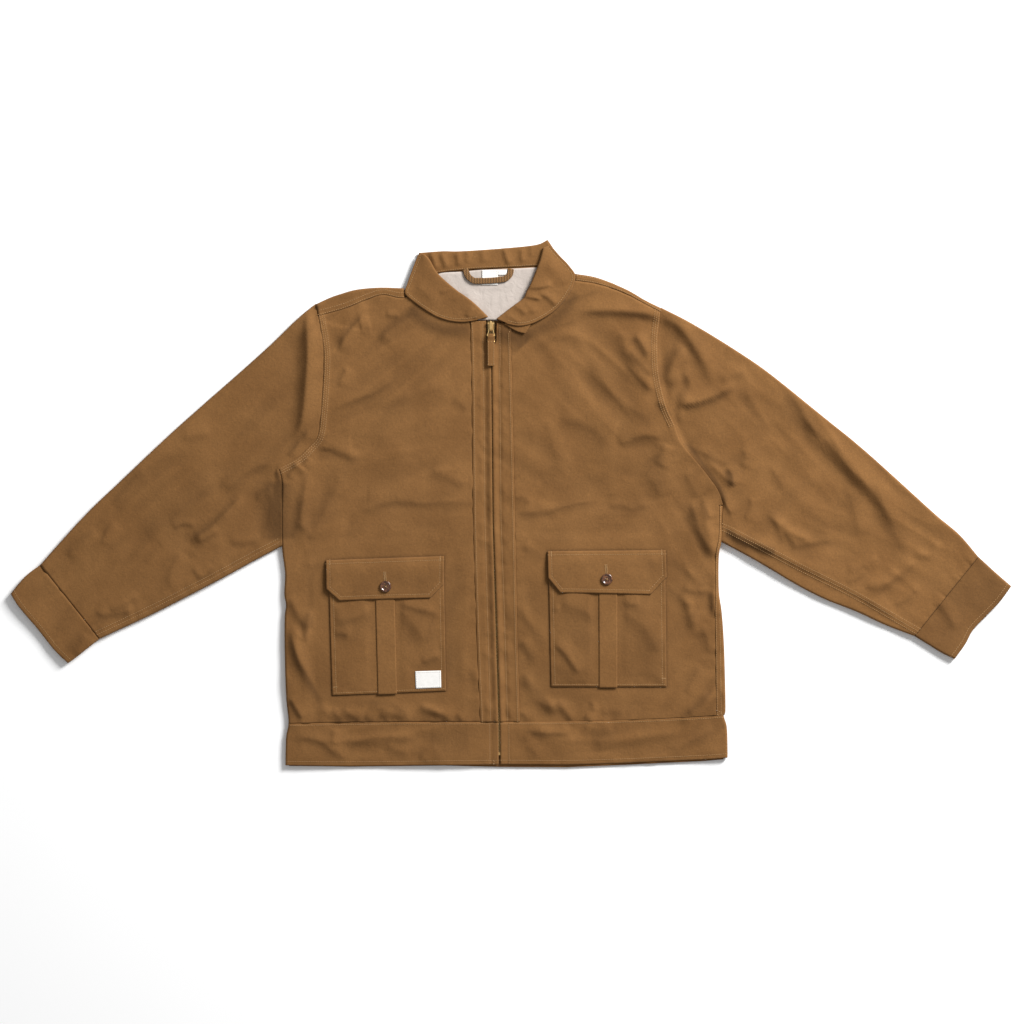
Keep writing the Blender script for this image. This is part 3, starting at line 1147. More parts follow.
def shoulder_points(side):
    """Outline, seam and inset points of a shoulder, from the armhole to the neck."""
    way = -SIGN[side]
    outline, seam = smooth(SHOULDERS[side])[::way], smooth(SHOULDER_SEAMS[side])[::way]
    share = np.linspace(0, 1, SHOULDER_COLUMNS)
    seam = at(seam, share * shares(seam)[np.argmin(abs(seam[:, 0] - outline[-1, 0]))])
    outline = at(outline, share)
    seam = seam + (0, GAP / 2)
    join = armhole(side)
    ends = aside(join["line"], [0, join["arm"][0]], way * GAP / 2)
    outline[0], seam[0] = ends[0], ends[1] + (0, GAP / 2)
    out = (outline - seam) / np.linalg.norm(outline - seam, axis=1, keepdims=True)
    return outline, seam, outline - out * ROLL


# %% [markdown]
# The body: two fronts, and a back that is rolled over to the seams at the right side and the shoulders.

# %% body
def front(side):
    join = armhole(side)
    sign = SIGN[side]
    arm = aside(join["line"], join["arm"], -sign * ARM_CLEAR)[::-1]
    rows = side_rows(side)
    if side == "left":
        rows[:, 0] += ROLL
    else:
        rows[:, 0] = x_of(smooth(RIGHT_SIDE_SEAM), rows[:, 1]) - GAP / 2
        rows[-1, 1] += 1  # clear of the sleeve's lowest corner
    outer = np.vstack([rows, arm])
    seam = band_seam(side)
    seam[:, 0] += sign * GAP / 2
    seam[0, 1] += GAP / 2
    inner = at(seam, shares(outer))
    neck = smooth(neckline(side))
    neck[-1, 0] += sign * GAP / 2
    shared = shoulder_points(side)[1] - (0, GAP)
    shared[0] = outer[-1]
    top_line = np.vstack([shared, (shared[-1] + neck[0]) / 2, neck])
    across = with_edges(np.linspace(0, 1, FRONT_COLUMNS), FRONT_RIM / lengths(top_line)[-1])
    top = at(top_line, across)
    xs = outer[0, 0] + (inner[0, 0] - outer[0, 0]) * across
    bottom = np.stack([xs, waist_y(xs) + GAP / 2], axis=-1)
    left, right = outer, inner
    if side == "right":
        bottom, top, left, right = bottom[::-1], top[::-1], inner, outer
    grid = raised(patch(bottom, top, left, right), front_top)
    flanges = []
    if side == "left":
        edge = [r * grid.shape[1] for r in range(len(rows))]
        flanges = [(edge, roll_down(grid[: len(rows), 0], -1))]
    sheet(f"front_{side}", grid, "cloth", CLOTH, flanges=flanges, shade=front_shade)


def back():
    left_join, right_join = armhole("left"), armhole("right")
    left_rows, right_rows = side_rows("left"), side_rows("right")
    left_rows[:, 0] += ROLL + TAIL + GAP
    seam_x = x_of(smooth(RIGHT_SIDE_SEAM), right_rows[:, 1]) + GAP / 2
    seam_side = np.stack([seam_x, right_rows[:, 1]], axis=-1)
    outline_side = right_rows.copy()
    right_rows[:, 0] -= ROLL
    left_arm = aside(left_join["line"], left_join["under"], GAP / 2)
    right_arm = aside(right_join["line"], right_join["under"], -GAP / 2)
    left_arm = left_arm[left_arm[:, 0] > left_rows[-1, 0] + 1]
    left_out, left_seam, left_in = shoulder_points("left")
    right_out, right_seam, right_in = shoulder_points("right")
    left_arm[-1], right_arm[-1] = left_in[0], right_in[0]
    left = np.vstack([left_rows, left_arm])
    right = np.vstack([right_rows, right_arm])
    count = max(len(left), len(right))
    flat_right = len(right_rows)
    if len(left) < count:
        left = at(left, np.linspace(0, 1, count))
    else:
        fine = np.linspace(shares(right)[flat_right - 1], 1, count - flat_right + 1)[1:]
        right = np.vstack([right_rows, at(right, fine)])
    neck = smooth(BACK_NECK)
    neck = neck[(neck[:, 0] > left_in[-1, 0] + NECK_MARGIN) & (neck[:, 0] < right_in[-1, 0] - NECK_MARGIN)]
    neck = at(np.vstack([left_in[-1:], neck, right_in[-1:]]), np.linspace(0, 1, NECK_COLUMNS))
    top = np.vstack([left_in, neck[1:-1], right_in[::-1]])
    xs = left[0, 0] + (right[0, 0] - left[0, 0]) * shares(top)
    bottom = np.stack([xs, waist_y(xs) + GAP / 2], axis=-1)
    grid = raised(patch(bottom, top, left, right), back_under)
    rows, columns = grid.shape[:2]
    last = (rows - 1) * columns
    end = len(left_in)
    flanges = [
        ([r * columns + columns - 1 for r in range(flat_right)],
         roll_up(grid[:flat_right, -1], outline_side, seam_side)),
        ([last + c for c in range(end)], roll_up(grid[-1, :end], left_out, left_seam)),
        ([last + columns - 1 - c for c in range(end)], roll_up(grid[-1, ::-1][:end], right_out, right_seam)),
    ]
    sheet("back", grid, "cloth", CLOTH, upward=False, flanges=flanges)


back()
front("left")
front("right")
print("body", list(PIECES))

# %% [markdown]
# The zip: a raised band on each side with a stitched groove, and the tapes with their teeth between them.

# %% zip bands and tapes
BAND_TOP = {"left": 263.0, "right": 260.0}
BAND_STEP = 0.4
BAND_GROOVE = -0.3
BAND_LAP = 0.5  # how far a band lies over its front
BAND_EDGE = 1.6
BAND_CLEARS = (215, 20)  # where a band rises round the slider, and over what distance
GROOVE_IN = 11.0  # from the edge of a band to its stitched groove
TAPE_OPENING = ((6.8, 262), (6.8, 237), (0.7, 230), (0.7, -378))
TAPE_WIDTH = 12.0
TAPE_END = 259
TAPE_WALL = 0.9
TAPE_DROP = 2.3
TAPE_STEPS = (3.5, 5)  # step along it, and columns
ZIP_BAND_STEPS = (2.6, 19)
ZIP_BAND_RIM = 0.025
LOW_NEAR = 18  # how far along the zip the bands' lowest place sets the height of the tape
ZIP_STOP_Y = -362.0


def zip_edge(side, y, half=ZIP_OPENING):
    return x_of(ZIP_LINE, y) + SIGN[side] * x_of(half, y)


def slider_room(y):
    """How much wider the opening is around the slider."""
    return np.maximum(x_of(ZIP_OPENING, y) - ZIP_OPENING[-1][0], 0)


def band_rise(inward, outer, y):
    """Height of a band above the fronts, from the distances to the closed opening and to its sewn edge."""
    edge = BAND_EDGE + (BAND_STEP - BAND_EDGE) * ease((y - BAND_CLEARS[0]) / BAND_CLEARS[1])
    lip = BAND_GROOVE + (edge - BAND_GROOVE) * ease(1 - (inward - 2.0) / 7.5) - 0.7 * ease(1 - inward / 1.4)
    strip = BAND_GROOVE + (BAND_STEP - BAND_GROOVE) * ease((inward - GROOVE_IN) / 4.5)
    bead = 0.35 * swell(outer, 2.6, 1.8) - 0.3 * ease(1 - outer)
    return np.where(inward < GROOVE_IN, lip, strip + bead)


def zip_band(side):
    sign = SIGN[side]
    line = band_seam(side)
    line[:, 0] -= sign * GAP / 2
    line = line[line[:, 1] < BAND_TOP[side]]
    step, columns = ZIP_BAND_STEPS
    ys = spaced(line[0, 1] + GAP / 2, BAND_TOP[side], step)
    seam_x, edge_x = np.interp(ys, line[:, 1], line[:, 0]) + sign * BAND_LAP, zip_edge(side, ys)
    share = with_edges(np.linspace(0, 1, columns), ZIP_BAND_RIM)
    x = seam_x[:, None] + (edge_x - seam_x)[:, None] * share
    y = np.repeat(ys[:, None], len(share), axis=1)
    y[0] = waist_y(x[0]) + GAP / 2
    width = abs(edge_x - seam_x)[:, None]
    inward = width * (1 - share) + slider_room(ys)[:, None]
    z = body_height(x, y) + band_rise(inward, width * share, y)
    shift = 0 if side == "left" else 40
    broad = rough(y + 4 * shift + inward * 0.3, inward * 0.2, 11, 31)
    narrow = rough(y + shift, inward, 4.5, 32)
    z += (0.8 * broad + 0.3 * narrow) * swell(inward, GROOVE_IN, 9)
    grid = np.stack([x, y, z], axis=-1)
    sheet(f"zip_band_{side}", grid if side == "left" else grid[:, ::-1], "cloth", BAND, shade=fold_shade)


def tape_top(y):
    places = (y - LOW_NEAR, y, y + LOW_NEAR)
    lowest = np.min([body_height(x_of(ZIP_LINE, place), place) for place in places], axis=0)
    return lowest - TAPE_DROP


def zip_tape(side):
    step, columns = TAPE_STEPS
    ys = spaced(ZIP_STOP_Y, TAPE_END, step)
    x = zip_edge(side, ys, TAPE_OPENING)[:, None] + SIGN[side] * TAPE_WIDTH * np.linspace(1, 0, columns)
    y, z = (np.broadcast_to(values[:, None], x.shape) for values in (ys, tape_top(ys)))
    grid = np.stack([x, y, z], axis=-1)
    sheet(f"zip_tape_{side}", grid if side == "left" else grid[:, ::-1], "tape", TAPE_WALL)


for which in SIGN:
    zip_band(which)
    zip_tape(which)
print("with the zip", len(PIECES))

# %% [markdown]
# The sleeves are flattened tubes. Their plan is evened on a coarse grid first, so that no cell folds over at
# the armpit, and then refined.

# %% sleeves and cuffs
SLEEVE_REST = 6.4
SLEEVE_PUFF = 1.6
SLEEVE_LOWEST = 5.0
SLEEVE_STATIONS = 14
EVEN_ROUNDS = 300
FINE_ROUNDS = 160
FIXED_ROWS = 2  # rows at the armhole that stay on the seam
FIRST_ROW = 0.9  # from the sleeve's edge to its first row
SEAM_TURN = 20.0  # how far from the armhole a sleeve's side columns reach its outline
SEAM_STEP = 0.4  # how far a sleeve lies below the body at their seam
SLEEVE_STEP = 2.7
SLEEVE_UNDER_STEP = 4.2
PUFF_SHARE = 0.16
BESIDE_BODY = 7.6
SLEEVE_LAP = 0.8  # how far a sleeve's end goes under the body's edge
SEAM_REACH = 16.0
TUCK = 2.0  # how deep the right sleeve is tucked under the front's turned edge
TUCK_REACH = 2.6
CUFF_REST = 7.0
CUFF_DROP = 0.6  # its seam and its mouth are turned down by this
CUFF_COLUMNS = (52, 42)  # of the top and of the underside
CUFF_STEP = 2.6
CUFF_RIMS = (1.2, 0.9)  # from its seam and from its mouth to the next row


def evened(grid, rounds=EVEN_ROUNDS):
    """Evens a plan grid out between its fixed edges (elliptic smoothing)."""
    r = grid.copy()
    for _ in range(rounds):
        along = (r[1:-1, 2:] - r[1:-1, :-2]) / 2
        up = (r[2:, 1:-1] - r[:-2, 1:-1]) / 2
        a = (up**2).sum(-1, keepdims=True)
        b = (along * up).sum(-1, keepdims=True)
        c = (along**2).sum(-1, keepdims=True)
        cross = (r[2:, 2:] - r[2:, :-2] - r[:-2, 2:] + r[:-2, :-2]) / 4
        sides, ends = r[1:-1, 2:] + r[1:-1, :-2], r[2:, 1:-1] + r[:-2, 1:-1]
        r[1:-1, 1:-1] = (a * sides + c * ends - 2 * b * cross) / (2 * (a + c))
    return r


def tube(node, upper, lower, top, under, under_z, thickness):
    """A flattened tube from its outlines and the points of its top and underside by station."""
    half_low, half_high = top[:, -1, 2] / 2, top[:, 0, 2] / 2

    def roll(high, low, outline, half):
        base = np.where((ARC < math.pi / 2)[None, :, None], high[:, None, :2], low[:, None, :2])
        place = base + (outline[:, None] - base) * np.sin(ARC)[None, :, None]
        z = half[:, None] + half[:, None] * np.cos(ARC)
        return np.concatenate([place, z[..., None]], axis=-1)

    low_roll = roll(top[:, -1], under[:, 0], lower, half_low)
    high_roll = roll(top[:, 0], under[:, -1], upper, half_high)[:, ::-1]
    rings = np.concatenate([top, low_roll, with_heights(under, under_z), high_roll], axis=1)
    sheet(node, rings, "cloth", thickness, ring=True, shade=fold_shade)


def sleeve_under(x, y):
    return hollows(x, y, (0.45, 40, 23), (0.3, 15, 24))


def fade_ends(z):
    """Brings the underside down flat at its two edges."""
    share = np.linspace(0, 1, z.shape[1])
    return z * ease(np.minimum(share, 1 - share) * 12)[None]


def joined_outline(line, stations):
    """A sleeve's outline with its first points at the body's edge: just under it, and at the flat seam."""
    way = (line[3] - line[0]) / np.linalg.norm(line[3] - line[0])
    return np.vstack([line[:1] - way * SLEEVE_LAP, line[:1] + way * (GAP / 2 + FLAT_SEAM), stations[1:]])


def inward_ways(upper, lower):
    """Directions from the upper outline straight across to the lower one."""
    return (lower - upper) / np.linalg.norm(lower - upper, axis=1, keepdims=True)


def sleeve_layer(join, edge, level, upper, lower, where, step, top=None):
    """The plan grid of a sleeve's top, or of its underside with rows that match the top's."""
    first, second = (at_same(join["line"], line, where) for line in (edge, level))
    down = inward_ways(upper, lower)
    a, b = upper + down * ROLL, lower - down * ROLL
    a[:2], b[:2] = (first[0], second[0]), (first[-1], second[-1])
    last = a[-1] + (b[-1] - a[-1]) * np.linspace(0, 1, len(where))[:, None]
    plan = np.concatenate([first[None], evened(patch(second, last, a[1:], b[1:]))])
    away = np.linalg.norm(np.diff(plan, axis=0), axis=-1).mean(axis=1)
    reach = np.concatenate([[0, FLAT_SEAM], FLAT_SEAM + np.cumsum(away[1:])])
    if top:
        rows = np.interp(top["rows"], top["reach"], reach)
    else:
        rows = np.concatenate([[0, FIRST_ROW, FLAT_SEAM], spaced(FLAT_SEAM + 2.5, reach[-1], step)])
    knots = np.concatenate([[0], np.cumsum(np.linalg.norm(np.diff(plan, axis=1), axis=-1).mean(axis=0))])
    columns = spaced(0, knots[-1], step)
    plan = spline(plan, reach, rows)
    dense = np.swapaxes(spline(np.swapaxes(plan, 0, 1), knots, columns), 0, 1)
    along_seam = np.interp(columns, knots, where)
    dense[0], sewn = (at_same(join["line"], line, along_seam) for line in (edge, level))
    sewn[1:-1] = (sewn[:-2] + 2 * sewn[1:-1] + sewn[2:]) / 4
    dense[1], dense[FIXED_ROWS] = dense[0] + (sewn - dense[0]) * FIRST_ROW / FLAT_SEAM, sewn
    outlines = [spline(line, reach, rows) for line in (upper, lower)]
    inward = inward_ways(*outlines) * ROLL
    turned = ease((rows - rows[FIXED_ROWS]) / SEAM_TURN)[:, None]
    for column, outline, way in ((0, outlines[0], inward), (-1, outlines[1], -inward)):
        at_seam = dense[FIXED_ROWS, column] - outline[FIXED_ROWS]
        dense[FIXED_ROWS:, column] = (outline + at_seam * (1 - turned) + way * turned)[FIXED_ROWS:]
    dense = np.concatenate([dense[:FIXED_ROWS], evened(dense[FIXED_ROWS:], FINE_ROUNDS)])
    return {"plan": dense, "rows": rows, "columns": columns, "seam": along_seam, "reach": reach}


def sleeve(side):
    join = armhole(side, COARSE_STEPS)
    edge = beside(join["line"], -SIGN[side] * SLEEVE_LAP)
    level = beside(join["line"], SIGN[side] * (GAP / 2 + FLAT_SEAM))
    stations = np.linspace(0, 1, SLEEVE_STATIONS + 1)
    upper, lower = (joined_outline(line, at(line, stations))
                    for line in (smooth(SLEEVE_UPPER[side]), smooth(SLEEVE_LOWER[side])))
    ends = [join["inset"]], [1 - join["inset"]]
    top_shares = np.concatenate([ends[0], join["arm"], join["stretch"][:-1], ends[1]])
    under_shares = np.concatenate([ends[0], join["under"][-2::-1], ends[1]])
    layer = sleeve_layer(join, edge, level, upper, lower, top_shares, SLEEVE_STEP)
    below = sleeve_layer(join, edge, level, upper, lower, under_shares, SLEEVE_UNDER_STEP, layer)
    under = below["plan"][:, ::-1]
    upper, lower = (spline(line, layer["reach"], layer["rows"]) for line in (upper, lower))
    top = with_heights(layer["plan"], sleeve_height(side, join, layer))
    under_z = fade_ends(sleeve_under(under[..., 0], under[..., 1]))
    tube(f"sleeve_{side}", upper, lower, top, under, under_z, CLOTH)


def sleeve_height(side, join, layer):
    """Top of a sleeve: loose cloth that comes down to the body's height at the armhole."""
    rows, columns = layer["rows"], layer["columns"]
    x, y = layer["plan"][..., 0], layer["plan"][..., 1]
    across = (columns / columns[-1])[None]
    puff = SLEEVE_PUFF * (swell(across, 0, PUFF_SHARE) + swell(across, 1, PUFF_SHARE))
    z = np.maximum(SLEEVE_REST + puff + creases(x, y, FOLDS, FOLD_REST) + cloth_detail(x, y), SLEEVE_LOWEST)
    z += sleeve_seam(side, x, y, rows, columns)
    past = ease((layer["seam"] - join["armpit"]) / (1 - join["armpit"]) * 3)
    near = np.interp(rows, (0, FLAT_SEAM, 33), (1, 0.6, 0))[:, None]
    z += (BESIDE_BODY - z) * past * near
    joined = ease(1 - rows / SEAM_REACH)[:, None] * (1 - past)
    z += (body_height(x, y) - SEAM_STEP - z) * joined
    z[0] -= 0.5 * (1 - past)
    if side == "right":
        turned = ease((TURNED_BELOW - y) / TURN_FADE)
        z -= TUCK * np.exp(-rows / TUCK_REACH)[:, None] * turned * (1 - past)
    return z


def sleeve_seam(side, x, y, rows, columns):
    """The underarm seam, and puckers at the armhole and the cuff."""
    d, share = nearest(x, y, UNDERARM[side])
    total = ridge(-d, width=10, height=0.5 if side == "right" else 0.3)
    total = total + pucker(share * 330, d, reach=12, height=0.35, seed=41)
    along = columns[None] + 0 * x
    total += pucker(along, rows[:, None], reach=11, height=0.45, seed=42, size=8)
    return total + pucker(along, (rows[-1] - rows)[:, None], reach=11, height=0.40, seed=43, size=7)


def cuff(side):
    upper_line, lower_line, mouth = (smooth(line[side]) for line in (CUFF_UPPER, CUFF_LOWER, CUFF_MOUTH))
    length = np.linalg.norm(upper_line[-1] - upper_line[0])
    first, last = CUFF_RIMS[0] / length, 1 - CUFF_RIMS[1] / length
    stations = np.concatenate([[GAP / length], spaced(first, last, CUFF_STEP / length), [1]])
    upper, lower = at(upper_line, stations), at(lower_line, stations)
    inset = ROLL / np.linalg.norm(upper[0] - lower[0])
    layers = []
    for count in CUFF_COLUMNS:
        where = np.linspace(inset, 1 - inset, count + 1)
        chord = upper[:, None] + (lower - upper)[:, None] * where[None, :, None]
        bow = at(mouth, where) - chord[-1]
        layers.append(chord + bow[None] * (stations**2)[:, None, None])
    plan, under = layers[0], layers[1][:, ::-1]
    across = np.linspace(0, 1, plan.shape[1])
    x, y = plan[..., 0], plan[..., 1]
    z = CUFF_REST + 0.8 * np.cos(across * math.tau)[None] + 0.5 * stations[:, None]
    z = z + uneven(x, y, (0.4, 34, 51), (0.28, 13, 52)) + creases(x, y, FINE[side + " cuff"])
    place = (stations * length)[:, None]
    z += 0.35 * rough(across[None] * 130, place * 0.3, 7, 53) * np.exp(-place / 9)
    z[[0, -1]] -= CUFF_DROP
    below = fade_ends(0.5 * sleeve_under(under[..., 0], under[..., 1]))
    tube(f"cuff_{side}", upper, lower, with_heights(plan, z), under, below, DOUBLE)


for which in SIGN:
    sleeve(which)
    cuff(which)
print("with sleeves and cuffs", len(PIECES))

# %% [markdown]
# The waistband, in two halves in front and one piece behind.

# %% waistband
WAISTBAND_RISE = 0.35
WAIST_LAP = 0.5
WAISTBAND_FRONT = (-376.0, -315.5)  # hem and seam at the zip
WAISTBAND_MIDDLE = -340
WAISTBAND_DEPTH = 60
WAISTBAND_GRID = (24, 112)  # rows and columns of each half in front
WAISTBAND_BACK_GRID = (20, 3.4)  # rows, and step between the columns
BAND_RIM = 0.014  # share of its depth from an edge of the waistband to the first row
BAND_END = 0.003  # share of its length from an end to the first column
HEM_DROP = 0.7


def waistband_front(side):
    sign = SIGN[side]
    outline = smooth(SIDES[side])
    rows, columns = WAISTBAND_GRID
    share = with_edges(np.linspace(0, 1, rows), BAND_RIM)
    side_x = x_of(outline, WAISTBAND_MIDDLE) - sign * ROLL
    hem_y = y_of(FRONT_HEM, side_x)
    ys = hem_y + (waist_y(side_x) - GAP / 2 - hem_y) * share
    outer = np.stack([x_of(outline, ys) - sign * ROLL, ys], axis=-1)
    ys = WAISTBAND_FRONT[0] + (WAISTBAND_FRONT[1] - WAISTBAND_FRONT[0]) * share
    inner = np.stack([zip_edge(side, ys), ys], axis=-1)
    across = with_edges(np.linspace(0, 1, columns), BAND_END)
    bottom_x, top_x = (outer[end, 0] + (inner[end, 0] - outer[end, 0]) * across for end in (0, -1))
    bottom = np.stack([bottom_x, y_of(FRONT_HEM, bottom_x)], axis=-1)
    top = np.stack([top_x, waist_y(top_x) + WAIST_LAP], axis=-1)
    inner[0], inner[-1] = bottom[-1], top[-1]
    outer[0], outer[-1] = bottom[0], top[0]
    left, right = outer, inner
    if side == "right":
        bottom, top, left, right = bottom[::-1], top[::-1], inner, outer
    plan = patch(bottom, top, left, right)
    x, y = plan[..., 0], plan[..., 1]
    from_zip, down = abs(x - x_of(ZIP_LINE, y)), waist_y(x) - y
    z = body_height(x, y) + WAISTBAND_RISE + uneven(x, y, (0.25, 24, 61))
    z += 0.35 * rough(x, down * 0.3, 8, 62) * beyond(down, 9)
    z += 0.3 * rough(x, down * 0.3, 7, 63) * swell(down, WAISTBAND_DEPTH, 7)
    z += 0.8 * ease(1 - (from_zip - 2) / 8) - 0.6 * swell(from_zip, GROOVE_IN + 1.5, 1.8)
    z -= HEM_DROP * ease(1 - (y - y_of(FRONT_HEM, x)) / 14)
    grid = edge_drop(with_heights(plan, z), 0.35, "bt")
    edge_drop(grid, 0.6, "r" if side == "left" else "l")
    edge = 0 if side == "left" else grid.shape[1] - 1
    flange = ([r * grid.shape[1] + edge for r in range(grid.shape[0])], roll_down(grid[:, edge], sign))
    sheet(f"waistband_{side}", grid, "cloth", DOUBLE, flanges=[flange], shade=fold_shade)


def waistband_back():
    inset = ROLL + TAIL + GAP
    rows, step = WAISTBAND_BACK_GRID
    share = with_edges(np.linspace(0, 1, rows), BAND_RIM)
    sides = []
    for outline, shift in ((smooth(SIDES["left"]), inset), (smooth(SIDES["right"]), -inset)):
        x = x_of(outline, WAISTBAND_MIDDLE) + shift
        ys = y_of(BACK_HEM, x) + (waist_y(x) - GAP / 2 - y_of(BACK_HEM, x)) * share
        sides.append(np.stack([x_of(outline, ys) + shift, ys], axis=-1))
    across = spaced(0, 1, step / (sides[1][0, 0] - sides[0][0, 0]))
    edges = []
    for end in (0, -1):
        xs = sides[0][end, 0] + (sides[1][end, 0] - sides[0][end, 0]) * across
        edges.append(np.stack([xs, y_of(BACK_HEM, xs) if end == 0 else waist_y(xs) - GAP / 2], axis=-1))
        sides[0][end], sides[1][end] = edges[-1][0], edges[-1][-1]
    plan = patch(*edges, *sides)
    x, y = plan[..., 0], plan[..., 1]
    z = np.clip(0.4 * rough(x, y, 26, 64) + 0.4 * rough(x, y * 0.4, 9, 65) - 0.1, 0, 0.8)
    sheet("waistband_back", with_heights(plan, z), "cloth", DOUBLE, upward=False)


waistband_front("left")
waistband_front("right")
waistband_back()
print("with the waistband", len(PIECES))

# %% [markdown]
# The collar, folded down round the neck, and the lining, labels and hang loop inside it.

# %% collar and neck
COLLAR_CREASES = (
    (((-102, 303), (-94, 306), (-84, 311)), 4, 3, 1.0),
    (((-84, 291), (-76, 297), (-68, 302)), 4, 3, 0.7),
    (((-64, 268), (-59, 275), (-53, 282)), 4, 3, 1.0),
    (((-54, 266), (-49, 271), (-44, 276)), 3, 3, 0.8),
    (((-138, 316), (-118, 300), (-98, 284)), 12, 10, 1.2),
    (((23, 310), (34, 310.5), (48, 312), (60, 317)), 7, 2.6, 2.0),
    (((19, 298), (30, 296.5), (44, 294)), 6, 2.6, 2.2),
    (((38, 304), (52, 298), (62, 289), (66, 283)), 7, 4, 1.8),
    (((2, 287), (14, 280), (22, 271)), 7, 4, 1.7),
    (((18, 291), (28, 283), (34, 272)), 7, 5, 1.2),
    (((-8, 272), (4, 266), (14, 259)), 4, 4, 0.8),
    (((50, 348), (70, 330), (74, 312)), 12, 10, 1.2),
)
BACK_COLLAR_CREASES = (
    (((-118, 362), (-112, 352), (-108, 336)), 5, 3, 2.4),
    (((-101, 362), (-97, 350), (-93, 338)), 6, 3, 2.2),
    (((-79, 362), (-76, 350), (-76, 341)), 6, 3, 2.0),
    (((-62, 364), (-64, 346)), 5, 4, 1.2),
    (((-41, 366), (-40, 346)), 7, 4, 1.4),
    (((-11, 368), (-6, 352), (-2, 343)), 7, 3, 2.2),
    (((16, 368), (15, 356), (17, 346)), 6, 3, 1.8),
    (((30, 372), (28, 356)), 5, 4, 1.0),
)
LEAF_STEP = 2.2
LEAF_RIM = 0.9  # from an end of a leaf to its first row
LEAF_COLUMNS = (22, 6)  # on top of a leaf and on the part that stands on the seam
LEAF_CREASES = 1.4  # how much of the table's heights its creases have
COLLAR_GRID = (76, 12)


def collar_leaf(side):
    table = np.array(LEAVES[side], float)
    knots = lengths(table[:, 2:4])
    where = np.concatenate([[0, LEAF_RIM], spaced(LEAF_STEP, knots[-1] - LEAF_STEP, LEAF_STEP),
                            [knots[-1] - LEAF_RIM, knots[-1]]])
    rows = spline(table, knots, where)
    fold, edge = rows[:, None, :2], rows[:, None, 2:4]
    edge_z, fold_z = rows[:, 4:5], rows[:, 5:6]
    width = np.linalg.norm(edge - fold, axis=2)
    out = (edge - fold) / width[..., None]
    radius = (fold_z - LEAF_UNDER) / 2
    depth = np.minimum(STAND_DEPTH, 0.55 * width - radius)

    def across(reach):
        return fold + out * reach[..., None]

    share = np.concatenate([[0, 0.018], np.linspace(0.05, 1, LEAF_COLUMNS[0])])
    inward = (width - radius) * share
    top = across(width - inward)
    x, y = top[..., 0], top[..., 1]
    z = edge_z + (fold_z - edge_z) * ease(share)
    z = z + LEAF_CREASES * creases(x, y, COLLAR_CREASES, 2.2) * (1 - 0.6 * share**3)
    z += uneven(x, y, (0.35, 22, 71), (0.16, 9, 72)) + 0.5 * faint_wrinkles(x, y)
    z += 0.35 * swell(inward, 1.6, 1.5) - 0.25 * swell(inward, 4.3, 1.1) - 0.7 * (share == 0)
    half = (z[:, -1:] - LEAF_UNDER) / 2
    turned = with_heights(across(radius - radius * np.sin(ARC)), LEAF_UNDER + half + half * np.cos(ARC))
    under = with_heights(across(radius + depth * np.linspace(0, 1, LEAF_COLUMNS[1])), LEAF_UNDER)
    grid = np.concatenate([with_heights(top, z), turned, under], axis=1)
    grid[[0, -1], :, 2] -= 0.3
    sheet(f"collar_{side}", grid, "cloth", TRIM, shade=fold_shade)


def collar_back():
    rows, columns = COLLAR_GRID
    share = np.linspace(0, 1, rows)
    seam, top, fall = (at(smooth(line), share) for line in (COLLAR_SEAM, COLLAR_TOP, COLLAR_FALL))
    radius = STAND_TOP / 2
    up, down = (-inward_ways(top, line) for line in (seam, fall))
    turn, under = top - up * radius, top - down * radius
    width = np.linspace(0, 1, columns)[None, :, None]
    stand = seam[:, None] + (turn - seam)[:, None] * width
    x, y = stand[..., 0], stand[..., 1]
    z = STAND_TOP + 1.1 * creases(x, y, BACK_COLLAR_CREASES, 2.5)
    z += uneven(x, y, (0.15, 12, 73)) + 0.2 * np.sin(width[..., 0] * math.pi)
    z[:, 0] -= 0.4
    half = z[:, -1:] / 2
    roll_plan = turn[:, None] + up[:, None] * (radius * np.sin(ARC))[None, :, None]
    rolled = with_heights(roll_plan, half + half * np.cos(ARC))
    below = with_heights(under[:, None] + (fall - under)[:, None] * width, 0)
    grid = np.concatenate([with_heights(stand, z), rolled, below], axis=1)
    sheet("collar_back", grid, "cloth", TRIM, shade=fold_shade)


LINING_LOWER = ((-88, 264), (-60, 264), (0, 264), (44, 264))
LINING_UPPER = ((-116, 325), (-100, 332), (-70, 334), (-42, 336.5), (6, 338.5), (39, 340), (54, 338.5))
LINING_TOP = CLOTH + BACK_LIFT + GAP + THIN
LINING_STEP = 2.4
LINING_RANGE = (-0.8, 0.25)  # how far it may dip and rise between its neighbours
LINING_CREASES = (
    (((-104, 318), (-86, 300), (-70, 284)), 5, 8, -0.5),
    (((-70, 312), (-58, 296), (-44, 276)), 6, 6, 0.4),
    (((26, 326), (8, 304), (-8, 282)), 6, 6, -0.5),
    (((-60, 308), (-30, 304), (0, 310)), 4, 7, -0.5),
    (((-24, 306), (-26, 290), (-30, 272)), 5, 5, 0.35),
)


def neck_lining():
    lower = even(LINING_LOWER, LINING_STEP)
    upper = at(smooth(LINING_UPPER), np.linspace(0, 1, len(lower)))
    left = even((lower[0], upper[0]), LINING_STEP, False)
    right = straight(lower[-1], upper[-1], np.linspace(0, 1, len(left)))
    grid = raised(patch(lower, upper, left, right), LINING_TOP)
    x, y = grid[..., 0], grid[..., 1]
    grid[..., 2] += np.clip(creases(x, y, LINING_CREASES, 2.5) + uneven(x, y, (0.14, 14, 74)), *LINING_RANGE)
    sheet("neck_lining", grid, "lining", THIN)


